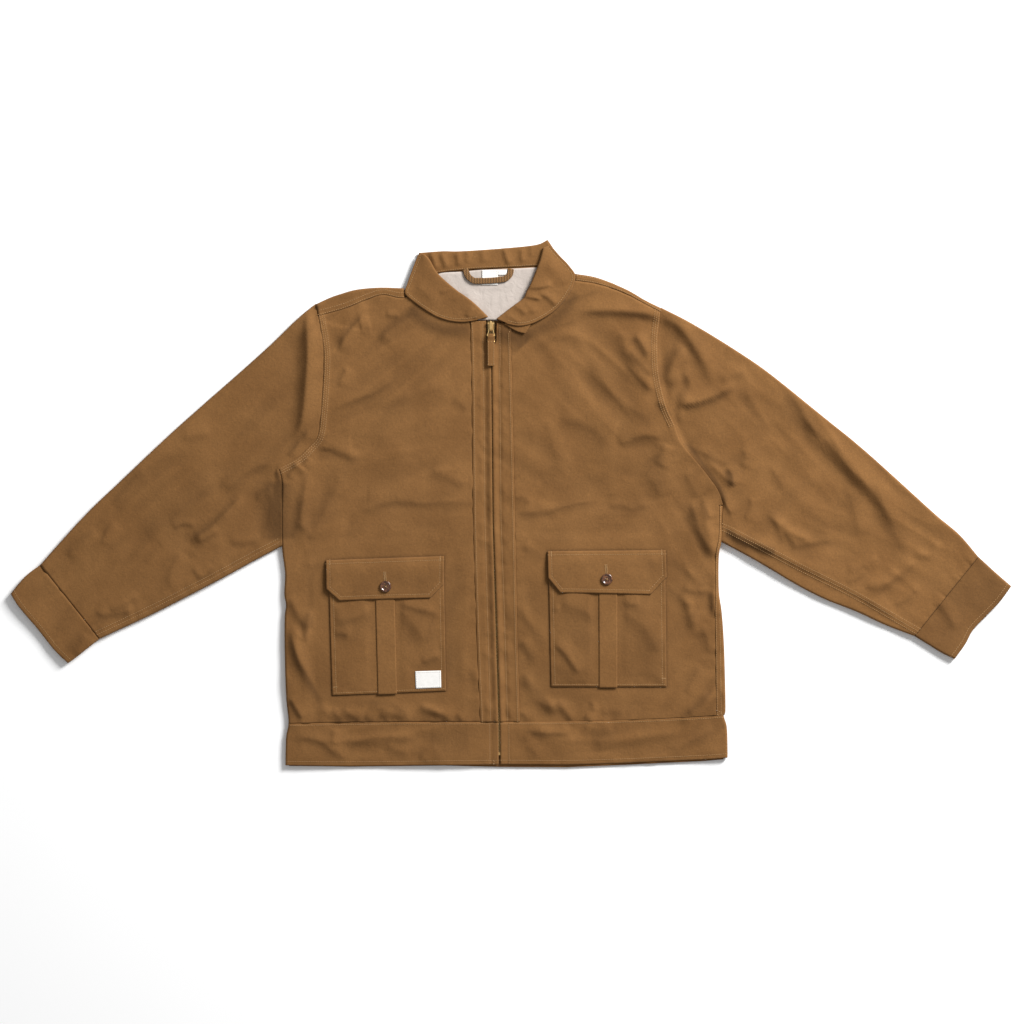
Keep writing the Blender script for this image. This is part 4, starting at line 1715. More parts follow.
LOOP_LINE = ((-66, 337.5), (-62.8, 329), (-60, 325), (-54.5, 321.3), (-50, 320.5), (-30, 320.8), (-12, 322.8),
             (-7, 324.4), (-2.2, 329), (-0.8, 332.5), (0, 338))
LOOP_WIDTH = 8.6
LOOP_ENDS = 6.1
LOOP_MIDDLE = 7.0
LOOP_STEP = 1.6
LOOP_CROWN = 0.25  # how much higher its middle is than its edges
PLATE_STEP = 1.4
PLATE_RIM = 0.5
PLATE_DROP = 0.25
LABEL_TOP = 5.7


def hang_loop():
    line = even(LOOP_LINE, LOOP_STEP)
    share = shares(line)
    z = LOOP_ENDS + (LOOP_MIDDLE - LOOP_ENDS) * ease(np.minimum(share, 1 - share) * 9)
    sides = np.linspace(LOOP_WIDTH / 2, -LOOP_WIDTH / 2, 9)
    crown = LOOP_CROWN * (1 - (sides / sides[0]) ** 4)
    grid = np.stack([np.column_stack([beside(line, w), z + c]) for w, c in zip(sides, crown)], axis=1)
    sheet("hang_loop", grid, "tape", THIN)


def plate(node, corners, top, kind, thickness):
    """A flat piece of cloth through four corners, given from the lower left round."""
    plan, _, _ = framed(corners, (PLATE_STEP, PLATE_STEP), PLATE_RIM)
    sheet(node, edge_drop(raised(plan, top), PLATE_DROP), kind, thickness)


collar_leaf("left")
collar_leaf("right")
collar_back()
neck_lining()
hang_loop()
NECK_LABEL = ((-42, 314.5), (-19.3, 314.5), (-19.3, 336), (-42, 336))
SIZE_LABEL = ((-19, 329), (-6, 329), (-6, 336), (-19, 336))
plate("neck_label", NECK_LABEL, LABEL_TOP, "label", LABEL)
plate("size_label", SIZE_LABEL, LABEL_TOP, "label", LABEL)
print("with collar and neck", len(PIECES))

# %% [markdown]
# The pockets: a bag with a pleat strip, a buttoned flap over it and a blank label on the left one.

# %% pockets
BAG_TOP = POCKET_REST + GAP + TRIM
BAG_RELIEF = 0.8  # how much a bag's middle stands up
BAG_STEPS = (2.2, 2.4)
BAG_RIM = 0.8
BAG_DROP = 0.7
PLEAT_MARGIN = 4  # the bag lies flat this far beside the pleat
PLEAT_STEPS = (2, 2.6)
PLEAT_RIM = 0.7
PLEAT_DROP = 0.5
PLEAT_TOP = BAG_TOP + GAP + THIN
FLAP_REST = 10.8
FLAP_PROFILE = (  # height of a flap by the distance below its top edge
    (0, 1.2, 4, 7, 12, 18, 34),
    (BAG_TOP - 0.2, BAG_TOP + 1.2, BAG_TOP + 1.6, 9.7, 10.5, FLAP_REST, FLAP_REST),
)
FLAP_COLUMNS = 84
FLAP_RIM = 0.0045  # share of its width from a side edge to the first column
FLAP_DROP = 0.5
BUTTON_PRESS = 13  # how far round a button the flap is pressed flat


def pocket(side):
    sizes = POCKETS[side]
    upper_left, lower_left, lower_right, upper_right = (np.array(p, float) for p in sizes["bag"])
    width, height = np.linalg.norm(lower_right - lower_left), np.linalg.norm(upper_left - lower_left)
    plan, across, up = framed((lower_left, lower_right, upper_right, upper_left), BAG_STEPS, BAG_RIM)
    x, y = plan[..., 0], plan[..., 1]
    u, v = across[None] * width, up[:, None] * height
    from_edge = np.minimum(np.minimum(u, width - u), v)
    pleat_left, pleat_right = sizes["pleat"][0][0] - PLEAT_MARGIN, sizes["pleat"][3][0] + PLEAT_MARGIN
    beside_pleat = np.minimum(abs(x - pleat_left), abs(x - pleat_right))
    open_cloth = np.where((x > pleat_left) & (x < pleat_right), 0, ease(beside_pleat / 12))
    z = BAG_RELIEF * ease(from_edge / 30) * ease((height - v) / 26)
    loose = creases(x, y, FINE[side + " pocket"]) + uneven(x, y, (0.25, 24, 81), (0.15, 10, 82))
    z += loose * ease(from_edge / 10)
    z += 0.3 * rough(u + v, from_edge * 0.3, 7, 83) * swell(from_edge, 5, 5)
    z -= 0.25 * swell(from_edge, 5.2, 1.4)
    z *= open_cloth
    if side == "left":
        low, high = np.min(POCKET_LABEL, axis=0), np.max(POCKET_LABEL, axis=0)
        z *= ease(np.max([low[0] - x, x - high[0], low[1] - y, y - high[1]], 0) / 14)
    grid = edge_drop(with_heights(plan, BAG_TOP + z), BAG_DROP)
    sheet(f"pocket_{side}", grid, "cloth", TRIM, shade=fold_shade)


def pleat(side):
    upper_left, lower_left, lower_right, upper_right = POCKETS[side]["pleat"]
    plan, across, _ = framed((lower_left, lower_right, upper_right, upper_left), PLEAT_STEPS, PLEAT_RIM)
    z = PLEAT_TOP + uneven(plan[..., 0], plan[..., 1], (0.1, 16, 84)) + 0.1 * np.sin(across * math.pi)[None]
    sheet(f"pleat_{side}", edge_drop(with_heights(plan, z), PLEAT_DROP), "cloth", THIN)


def flap(side):
    upper_left, *lower, upper_right = (np.array(p, float) for p in POCKETS[side]["flap"])
    lower = np.array(lower)
    share = with_edges(np.concatenate([np.linspace(0, 1, FLAP_COLUMNS), shares(lower)[1:-1]]), FLAP_RIM)
    bottom = at(lower, share)
    top_share = (bottom[:, 0] - bottom[0, 0]) / (bottom[-1, 0] - bottom[0, 0])
    top = upper_left + (upper_right - upper_left) * top_share[:, None]
    along = with_edges(np.linspace(0, 1, 24), 0.7 / np.linalg.norm(upper_left - lower[0]))
    plan = patch(bottom, top, straight(lower[0], upper_left, along), straight(lower[-1], upper_right, along))
    x, y = plan[..., 0], plan[..., 1]
    slope = (upper_right[1] - upper_left[1]) / (upper_right[0] - upper_left[0])
    z = np.interp(upper_left[1] + slope * (x - upper_left[0]) - y, *FLAP_PROFILE)
    rim = edge_distance(x, y, [upper_left, *lower, upper_right])
    z = z + 0.35 * swell(rim, 1.8, 1.6) - 0.25 * swell(rim, 5.0, 1.2)
    bx, by = POCKETS[side]["button"]
    free = 1 - swell(np.hypot(x - bx, y - by), 0, BUTTON_PRESS)
    z += uneven(x, y, (0.25, 20, 85), (0.10, 8, 86)) * free
    z = np.minimum(z, FLAP_REST + 0.15 + 2 * free)
    grid = edge_drop(with_heights(plan, z), FLAP_DROP, "blr")
    sheet(f"flap_{side}", grid, "cloth", TRIM, shade=fold_shade)


for which in SIGN:
    pocket(which)
    pleat(which)
    flap(which)
plate("pocket_label", (*POCKET_LABEL[1:], POCKET_LABEL[0]), BAG_TOP + GAP + LABEL, "label", LABEL)

# %% [markdown]
# The pull tab is a folded strip that rides with the zip puller. The guard is the small cloth tongue behind
# the top of the zip.

# %% pull tab and guard
# The strip of the tab, from its lower end round the puller's bar: y and z from the hinge, half width
TAB = ((-61.5, -1.2, 5.0), (-24, -1.2, 5.3), (-19.6, -1.95, 5.2), (-18.6, -1.95, 3.7), (-15.7, -1.95, 3.5),
       (-15.2, -1.2, 3.5), (-15.2, 1.2, 3.5), (-15.7, 1.95, 3.5), (-18.6, 1.95, 3.7), (-19.6, 1.95, 5.2),
       (-24, 0.85, 5.3), (-61.5, 0.85, 5.0))
TAB_STEP = 1.3
TAB_COLUMNS = (-1, -0.9, -0.65, -0.3, 0, 0.3, 0.65, 0.9, 1)
TAB_RIM = 0.5
TAB_CLOSEST = 0.2  # rows closer than this to the one before are left out
TAB_CROWN = 0.18
TAB_DROP = 0.22
GUARD_LOWER = ((-9.5, 258), (8, 248), (20.5, 244.5))
GUARD_UPPER = ((-7, 262), (12, 262), (29, 258.5))
GUARD_TOP = 9.9
GUARD_GRID = (20, 9)
GUARD_DROP = 0.35


def pull_tab():
    hx, hy, hz = HINGE
    table = np.array(TAB)
    along = lengths(table)
    where = np.sort(np.concatenate([along, spaced(0, along[-1], TAB_STEP), [TAB_RIM, along[-1] - TAB_RIM]]))
    where = where[np.concatenate([[True], np.diff(where) > TAB_CLOSEST])]
    rows = np.stack([np.interp(where, along, table[:, k]) for k in range(3)], axis=-1)
    share = np.array(TAB_COLUMNS)
    x = hx + rows[:, 2:] * share
    y = hy + rows[:, :1] + 0 * share
    outer = np.sign(rows[:, 1:2])
    crown = TAB_CROWN * np.cos(share * math.pi / 2) - TAB_DROP * (abs(share) == 1)
    crown = outer * (crown + uneven(x, y, (0.08, 7, 91)))
    z = hz + rows[:, 1:2] + crown
    sheet("zip_pull_tab", np.stack([x, y, z], axis=-1), "cloth", TAB_WALL, upward=False, body="pull")


def zip_guard():
    columns, rows = GUARD_GRID
    across, up = with_edges(np.linspace(0, 1, columns), 0.02), with_edges(np.linspace(0, 1, rows), 0.06)
    lower, upper = (at(smooth(line), across) for line in (GUARD_LOWER, GUARD_UPPER))
    left, right = (straight(lower[end], upper[end], up) for end in (0, -1))
    grid = raised(patch(lower, upper, left, right), GUARD_TOP)
    sheet("zip_guard", edge_drop(grid, GUARD_DROP), "cloth", THIN)


pull_tab()
zip_guard()
print("sheets", len(PIECES))

# %% [markdown]
# Buttons are turned from a profile, with four holes, a rim and the thread that holds them.

# %% buttons
BUTTON_PROFILE = (  # radius and height
    (0, 0), (6.4, 0), (7.7, 0.35), (8.25, 1.2), (8.05, 1.9), (7.4, 2.45), (6.7, 2.55), (6.0, 2.35),
    (5.2, 1.85), (4.4, 1.7), (0, 1.7),
)
BUTTON_STEPS = 56
HOLE_DEPTH = 0.012  # through the button from side to side, in metres
HOLE_SIDES = 16
WELD = 0.00002  # points closer than this become one, in metres


def button(side):
    x, y = POCKETS[side]["button"]
    work = bmesh.new()
    verts = [work.verts.new((r * MM, 0, z * MM)) for r, z in smooth(BUTTON_PROFILE, 3)]
    edges = [work.edges.new(pair) for pair in zip(verts, verts[1:])]
    bmesh.ops.spin(work, geom=verts + edges, axis=(0, 0, 1), cent=(0, 0, 0), steps=BUTTON_STEPS,
                   angle=math.tau)
    bmesh.ops.remove_doubles(work, verts=work.verts, dist=WELD)
    bmesh.ops.recalc_face_normals(work, faces=work.faces)
    mesh = placed(work, "button", (x, y, FLAP_REST + GAP))
    piece = add_piece(f"button_{side}_horn", mesh, "horn", f"button_{side}")
    radius = BUTTON_HOLE_RADIUS * MM
    for k in range(4):
        angle = math.tau * (k + 0.5) / 4
        hole = bmesh.new()
        bmesh.ops.create_cone(hole, segments=HOLE_SIDES, radius1=radius, radius2=radius,
                              depth=HOLE_DEPTH, cap_ends=True)
        dx, dy = BUTTON_HOLE_SPREAD * math.cos(angle), BUTTON_HOLE_SPREAD * math.sin(angle)
        cutter = bpy.data.objects.new("hole", placed(hole, "hole", (x + dx, y + dy, FLAP_REST + 1)))
        bpy.context.scene.collection.objects.link(cutter)
        step = piece.modifiers.new("hole", "BOOLEAN")
        step.operation = "DIFFERENCE"
        step.solver = "EXACT"
        step.object = cutter
        bake(piece)
        bpy.data.objects.remove(cutter, do_unlink=True)


def placed(work, name, place):
    """A mesh of the work, moved to its place in millimetres."""
    bmesh.ops.translate(work, verts=work.verts, vec=[v * MM for v in place])
    mesh = bpy.data.meshes.new(name)
    work.to_mesh(mesh)
    work.free()
    return mesh


def bake(piece):
    """Applies a piece's modifiers to its mesh."""
    deps = bpy.context.evaluated_depsgraph_get()
    mesh = bpy.data.meshes.new_from_object(piece.evaluated_get(deps))
    piece.modifiers.clear()
    piece.data = mesh
    return piece


button("left")
button("right")

# %% [markdown]
# Stitches and zip teeth are one small mesh each, set along lines by Geometry Nodes and then turned into plain
# meshes. Every line of stitches is dropped on to the cloth that it is sewn through.

# %% a row of equal things along lines
def row_tree():
    """Sets a thing along lines: inputs are the lines, the pitch, the thing and its finish."""
    tree = bpy.data.node_groups.new("row along lines", "GeometryNodeTree")
    sockets = {}
    inputs = {"Lines": "Geometry", "Pitch": "Float", "Thing": "Object", "Finish": "Material"}
    for name, kind in inputs.items():
        socket = tree.interface.new_socket(name, in_out="INPUT", socket_type=f"NodeSocket{kind}")
        sockets[name] = socket.identifier
    tree.interface.new_socket("Row", in_out="OUTPUT", socket_type="NodeSocketGeometry")
    start, end, curve, even_points, thing, tangent, turn, tilt, put, real, paint = (
        tree.nodes.new(kind) for kind in (
            "NodeGroupInput", "NodeGroupOutput", "GeometryNodeMeshToCurve", "GeometryNodeResampleCurve",
            "GeometryNodeObjectInfo", "GeometryNodeInputTangent", "FunctionNodeAlignRotationToVector",
            "FunctionNodeAlignRotationToVector", "GeometryNodeInstanceOnPoints",
            "GeometryNodeRealizeInstances", "GeometryNodeSetMaterial"))
    even_points.mode = "LENGTH"
    turn.axis, turn.pivot_axis = "X", "Z"
    tilt.axis, tilt.pivot_axis = "X", "AUTO"
    for a, b in (
        (start.outputs["Lines"], curve.inputs[0]), (curve.outputs[0], even_points.inputs["Curve"]),
        (start.outputs["Pitch"], even_points.inputs["Length"]),
        (start.outputs["Thing"], thing.inputs["Object"]),
        (even_points.outputs[0], put.inputs["Points"]), (thing.outputs["Geometry"], put.inputs["Instance"]),
        (tangent.outputs[0], turn.inputs["Vector"]), (turn.outputs[0], tilt.inputs["Rotation"]),
        (tangent.outputs[0], tilt.inputs["Vector"]), (tilt.outputs[0], put.inputs["Rotation"]),
        (put.outputs[0], real.inputs[0]), (real.outputs[0], paint.inputs["Geometry"]),
        (start.outputs["Finish"], paint.inputs["Material"]), (paint.outputs[0], end.inputs[0]),
    ):
        tree.links.new(a, b)
    return tree, sockets


ROW_TREE, ROW_SOCKETS = row_tree()
RAY_START = 0.05  # above the whole jacket


def capsule(name, length, radius, flat=0.8, sides=6, across=False):
    """A short rounded bar along X, or along Y if across."""
    rings = ((-0.5, 0.0), (-0.36, 0.8), (0.0, 1.0), (0.36, 0.8), (0.5, 0.0))
    verts = [(rings[0][0] * length, 0, 0)]
    for share, fat in rings[1:-1]:
        for k in range(sides):
            a = math.tau * k / sides
            verts.append((share * length, math.cos(a) * radius * fat, math.sin(a) * radius * flat * fat))
    verts.append((rings[-1][0] * length, 0, 0))
    faces = [(0, 1 + (k + 1) % sides, 1 + k) for k in range(sides)]
    for r in range(len(rings) - 3):
        base = 1 + r * sides
        faces += [(base + k, base + (k + 1) % sides, base + sides + (k + 1) % sides, base + sides + k)
                  for k in range(sides)]
    base = 1 + (len(rings) - 3) * sides
    faces += [(base + k, base + (k + 1) % sides, len(verts) - 1) for k in range(sides)]
    if across:
        verts = [(-y, x, z) for x, y, z in verts]
    return thing_from(name, verts, faces)


def thing_from(name, verts, faces):
    mesh = bpy.data.meshes.new(name)
    mesh.from_pydata((np.array(verts) * MM).tolist(), [], faces)
    mesh.shade_smooth()
    thing = bpy.data.objects.new(name, mesh)
    bpy.context.scene.collection.objects.link(thing)
    return thing


def along_lines(name, lines, pitch, thing, kind, node=None, body="jacket"):
    """Sets the thing along lines of (x, y, z) points and keeps the result as a plain mesh."""
    verts, edges = [], []
    for line in lines:
        start = len(verts)
        verts += [tuple(p) for p in line]
        edges += [(start + k, start + k + 1) for k in range(len(line) - 1)]
    mesh = bpy.data.meshes.new(name)
    mesh.from_pydata((np.array(verts) * MM).tolist(), edges, [])
    piece = bpy.data.objects.new(name, mesh)
    parts.objects.link(piece)
    rows = piece.modifiers.new("rows", "NODES")
    rows.node_group = ROW_TREE
    rows[ROW_SOCKETS["Pitch"]] = pitch * MM
    rows[ROW_SOCKETS["Thing"]] = thing
    rows[ROW_SOCKETS["Finish"]] = finish(kind)
    bake(piece)
    PIECES[name] = (piece, kind, node, body)
    return piece


def tops(*names):
    """Trees of the named pieces' surfaces, to find their tops."""
    deps = bpy.context.evaluated_depsgraph_get()
    return [BVHTree.FromObject(PIECES[name][0], deps) for name in names]


def dropped(line, trees, lift=0.1, step=1.2):
    """Parts of a plan line that lie over the surfaces, set on them."""
    line = np.asarray(line, float)
    runs, run = [], []
    for x, y in at(line[:, :2], spaced(0, 1, step / lengths(line)[-1])):
        above = Vector((x * MM, y * MM, RAY_START))
        hits = [tree.ray_cast(above, Vector((0, 0, -1)))[0] for tree in trees]
        found = [hit.z for hit in hits if hit is not None]
        if found:
            run.append((x, y, max(found) / MM + lift))
        elif run:
            runs.append(run)
            run = []
    runs.append(run)
    return [r for r in runs if len(r) > 2]


def inset(corners, distance):
    """A polyline of straight sides moved to its left, with its corners kept sharp."""
    p = np.array(corners, float)
    step = np.diff(p, axis=0)
    step /= np.linalg.norm(step, axis=1, keepdims=True)
    left = np.stack([-step[:, 1], step[:, 0]], axis=-1) * distance
    moved = [p[0] + left[0]]
    for k in range(1, len(p) - 1):
        a, b = left[k - 1] / distance, left[k] / distance
        moved.append(p[k] + (a + b) / (1 + a @ b) * distance)
    moved.append(p[-1] + left[-1])
    return np.array(moved)


# %% [markdown]
# Finishes. Cotton twill with a slub grain and fine crumples, plain lining, woven labels, herringbone tape,
# brass and horn. Scales are in millimetres, from Object coordinates.

# %% finishes
FINISHES = {}
TWILL_COLOURS = ((0.165, 0.0763, 0.0232), (0.196, 0.0928, 0.0294))
DEEPEST_SHADE = 0.56
TAPE_RIB = 1.6


class Paint:
    """A material under construction, with short ways to add and join nodes."""

    def __init__(self, name):
        self.material = bpy.data.materials.new(name)
        self.material.use_nodes = True
        self.tree = self.material.node_tree
        self.shader = self.tree.nodes["Principled BSDF"]
        place = self.add("TexCoord")
        self.mm = self.add("Mapping", Vector=place.outputs["Object"], Scale=(1000, 1000, 1000)).outputs[0]

    def add(self, kind, settings=(), **inputs):
        node = self.tree.nodes.new("ShaderNode" + kind)
        for key, value in dict(settings).items():
            setattr(node, key, value)
        for key, value in inputs.items():
            self.put(node.inputs[key.replace("_", " ")], value)
        return node

    def put(self, socket, value):
        if isinstance(value, bpy.types.NodeSocket):
            self.tree.links.new(value, socket)
        else:
            socket.default_value = value

    def turned(self, angle=0.0, stretch=(1, 1, 1)):
        return self.add("Mapping", Vector=self.mm, Rotation=(0, 0, angle), Scale=stretch).outputs[0]

    def noise(self, size, detail=2.0, vector=None, roughness=0.5, distortion=0.0):
        """Noise whose bumps are about size millimetres across, from 0 to 1."""
        node = self.add("TexNoise", Vector=vector or self.mm, Scale=1 / size, Detail=detail,
                        Roughness=roughness, Distortion=distortion)
        return node.outputs["Fac"]

    def math(self, how, a, b=0.0, c=0.0):
        node = self.add("Math", {"operation": how})
        for socket, value in zip(node.inputs, (a, b, c)):
            self.put(socket, value)
        return node.outputs[0]

    def ramp(self, value, low, high, to_low, to_high):
        node = self.add("MapRange", Value=value, From_Min=low, From_Max=high, To_Min=to_low, To_Max=to_high)
        return node.outputs[0]

    def vary(self, noise, low, high, spread=0.2):
        """The middle of a noise's range, spread on each side of 0.5, brought to low up to high."""
        return self.ramp(noise, 0.5 - spread, 0.5 + spread, low, high)

    def wave(self, axis, scale, **inputs):
        node = self.add("TexWave", {"bands_direction": axis}, Scale=scale, **{"Vector": self.mm, **inputs})
        return node.outputs["Fac"]

    def weave(self, scale_x, scale_y):
        return self.math("MULTIPLY", self.wave("X", scale_x), self.wave("Y", scale_y))

    def shade(self, colour, *factors):
        """A colour with its brightness multiplied by each of the factors."""
        total = factors[0]
        for factor in factors[1:]:
            total = self.math("MULTIPLY", total, factor)
        node = self.add("Mix", {"data_type": "RGBA", "blend_type": "MULTIPLY"})
        node.inputs["Factor"].default_value = 1.0
        rgb = self.add("CombineColor")
        for k in range(3):
            self.put(rgb.inputs[k], total)
        self.put(node.inputs[6], colour)
        self.put(node.inputs[7], rgb.outputs[0])
        return node.outputs[2]

    def mix(self, share, a, b):
        node = self.add("Mix", {"data_type": "RGBA"})
        self.put(node.inputs["Factor"], share)
        self.put(node.inputs[6], a)
        self.put(node.inputs[7], b)
        return node.outputs[2]

    def bump(self, *layers):
        """Layers of (pattern, height in millimetres), added up."""
        total, *rest = [self.math("MULTIPLY", pattern, height) for pattern, height in layers]
        for height in rest:
            total = self.math("ADD", total, height)
        node = self.add("Bump", Height=total, Distance=MM, Strength=1.0)
        self.put(self.shader.inputs["Normal"], node.outputs[0])

    def done(self, colour, roughness, **fixed):
        self.put(self.shader.inputs["Base Color"], colour)
        self.put(self.shader.inputs["Roughness"], roughness)
        for key, value in fixed.items():
            self.shader.inputs[key.replace("_", " ")].default_value = value
        return self.material


def twill(name, angle, tone=1.0):
    p = Paint(name)
    patchy = p.noise(17, 3)
    warp = p.noise(1, 1, vector=p.turned(angle, (1 / 1.2, 1 / 7, 1)))
    weft = p.noise(1, 1, vector=p.turned(angle, (1 / 6, 1 / 1.3, 1)))
    speck = p.noise(2.0, 3, vector=p.turned(angle), roughness=0.7)
    across = p.turned(angle + math.radians(58))
    line = p.wave("X", 0.31, Vector=across, Distortion=0.6, Detail=1.0, Detail_Scale=1.0)
    dark, light = (tuple(v * tone for v in colour) + (1,) for colour in TWILL_COLOURS)
    base = p.mix(p.vary(p.noise(70, 3, roughness=0.55), 0, 1, 0.15), dark, light)
    fold = p.add("Attribute", {"attribute_name": "shade"}).outputs["Fac"]
    colour = p.shade(base, p.ramp(fold, 0, 1, 1, DEEPEST_SHADE), p.vary(patchy, 0.98, 1.02),
                     p.vary(warp, 0.96, 1.04, 0.25), p.vary(weft, 0.97, 1.03, 0.25),
                     p.vary(speck, 0.86, 1.14), p.ramp(line, 0, 1, 0.93, 1.05))
    crumple = p.noise(13, 3, roughness=0.55, distortion=0.6)
    p.bump((line, 0.05), (crumple, 0.5), (p.noise(4.5, 2), 0.22), (warp, 0.04))
    return p.done(colour, p.vary(speck, 0.82, 0.95), Sheen_Weight=0.03, Sheen_Roughness=0.5,
                  Specular_IOR_Level=0.15)


def lining():
    p = Paint("lining cotton")
    weave = p.weave(0.5, 0.5)
    colour = p.shade((0.465, 0.405, 0.360, 1), p.vary(p.noise(30, 3), 0.95, 1.04),
                     p.vary(p.noise(1.4, 2), 0.97, 1.03), p.ramp(weave, 0, 1, 0.97, 1.02))
    p.bump((p.noise(11, 3, distortion=0.8), 0.9), (weave, 0.03))
    return p.done(colour, 0.9, Specular_IOR_Level=0.2)


def label():
    p = Paint("woven label")
    weave = p.weave(0.7, 0.55)
    colour = p.shade((0.80, 0.78, 0.745, 1), p.vary(p.noise(8, 2), 0.96, 1.03),
                     p.ramp(weave, 0, 1, 0.95, 1.03))
    p.bump((weave, 0.05), (p.noise(6, 2), 0.2))
    return p.done(colour, 0.8, Specular_IOR_Level=0.25)


def tape():
    p = Paint("herringbone tape")
    x, y, _ = p.add("SeparateXYZ", Vector=p.mm).outputs
    fold = p.math("PINGPONG", y, TAPE_RIB)
    rib = p.math("SINE", p.math("MULTIPLY", p.math("ADD", x, fold), TAPE_RIB))
    colour = p.shade((0.160, 0.082, 0.030, 1), p.ramp(rib, -1, 1, 0.5, 1.4),
                     p.vary(p.noise(1.2, 2), 0.9, 1.1))
    p.bump((rib, 0.05))
    return p.done(colour, 0.85, Specular_IOR_Level=0.25)


def brass(name="brass", low=None, high=None):
    """Brass that is darker with depth, from the height low up to the height high."""
    p = Paint(name)
    tarnish = p.noise(3.0, 4)
    colour = p.mix(p.ramp(tarnish, 0.35, 0.7, 0, 1), (1.0, 0.69, 0.30, 1), (0.93, 0.55, 0.19, 1))
    if high:
        height = p.add("SeparateXYZ", Vector=p.mm).outputs[2]
        colour = p.shade(colour, p.ramp(height, low, high, 0.12, 1.0))
    p.bump((p.noise(0.35, 3), 0.015))
    return p.done(colour, p.vary(tarnish, 0.2, 0.34), Metallic=0.8)


def horn():
    p = Paint("horn")
    cloud = p.noise(4.2, 4, distortion=1.4)
    streak = p.noise(1, 3, vector=p.turned(0.6, (1 / 0.8, 1 / 5.5, 1)))
    colour = p.mix(p.ramp(cloud, 0.38, 0.66, 0, 1), (0.035, 0.012, 0.006, 1), (0.16, 0.062, 0.024, 1))
    colour = p.shade(colour, p.vary(streak, 0.75, 1.25))
    p.bump((streak, 0.02))
    return p.done(colour, p.vary(cloud, 0.2, 0.3), Coat_Weight=0.5, Coat_Roughness=0.12)


def thread(name, tone):
    p = Paint(name)
    ply = p.noise(0.5, 2)
    p.bump((ply, 0.05))
    return p.done(p.shade(tone, p.vary(ply, 0.8, 1.15)), 0.62, Sheen_Weight=0.2, Specular_IOR_Level=0.4)


# Directions of the grain in degrees, where it doesn't run up the jacket
GRAINS = {
    "sleeve_left": 38, "cuff_left": -52, "sleeve_right": -38, "cuff_right": 52,
    "collar_left": 40, "collar_right": -40, "collar_back": 88,
    "waistband_left": 90, "waistband_right": 90, "waistband_back": 90,
}
TONES = {"cuff_right": 0.82, "pocket_right": 0.93, "waistband_right": 1.04}


def finish(kind, node=None):
    """The material for a kind of surface, with the grain along the piece."""
    angle = GRAINS.get(node, 0) if kind == "cloth" else 0
    tone = TONES.get(node, 1.0)
    key = (kind, angle, tone)
    if key not in FINISHES:
        makers = {"lining": lining, "label": label, "tape": tape, "brass": brass, "horn": horn}
        if kind == "cloth":
            FINISHES[key] = twill(f"cotton twill {angle} {tone}".replace("-", "m"), math.radians(angle), tone)
        elif kind == "thread":
            FINISHES[key] = thread("tonal thread", (0.33, 0.18, 0.060, 1))
        elif kind == "white_thread":
            FINISHES[key] = thread("white thread", (0.75, 0.73, 0.69, 1))
        else:
            FINISHES[key] = makers[kind]()
    return FINISHES[key]


# %% [markdown]
# Every line of stitches: group, line, distances to its left, and the cloth under it.

# %% stitches
STITCH_PITCH = 3.3
LABEL_PITCH = 2.9
TAB_STITCHES = (3.9, 27, 59)  # half width, and upper and lower end below the hinge
FLAP_STITCHES = 5.6
BAG_STITCHES = (6.0, 3.4)  # from the sides and from the foot
STITCH = capsule("stitch", 2.7, 0.35)
SATIN = capsule("satin stitch", 1.7, 0.24, across=True)
SATIN_PITCH = 0.55
SATIN_LIFT = 0.12
SATIN_STEP = 0.6
BUTTONHOLE = ((-1.5, 21), (0, 5))  # its upper and lower end from the button's centre
BUTTONHOLE_SIDE = 1.1  # from the slit to each row of satin
FLAP_TACK = (5.5, 1.5, 7)  # distance from the side, upper and lower end below the top corner
BAG_TACK = (1.5, 7, 12)  # outer and inner end from the side, height above the foot
THREAD_SINK = 0.7  # how far a button's crossed threads go down into its holes
THREAD_LIFT = 2.0  # how far they lie above the button's underside
THREAD_PITCH = 0.8


def leaf_edge(side):
    return smooth(np.array(LEAVES[side], float)[:, 2:4])


def zip_line(side, low, high, inward):
    ys = np.linspace(low, high, 60)
    return np.stack([zip_edge(side, ys) + SIGN[side] * (inward - slider_room(ys)), ys], axis=-1)


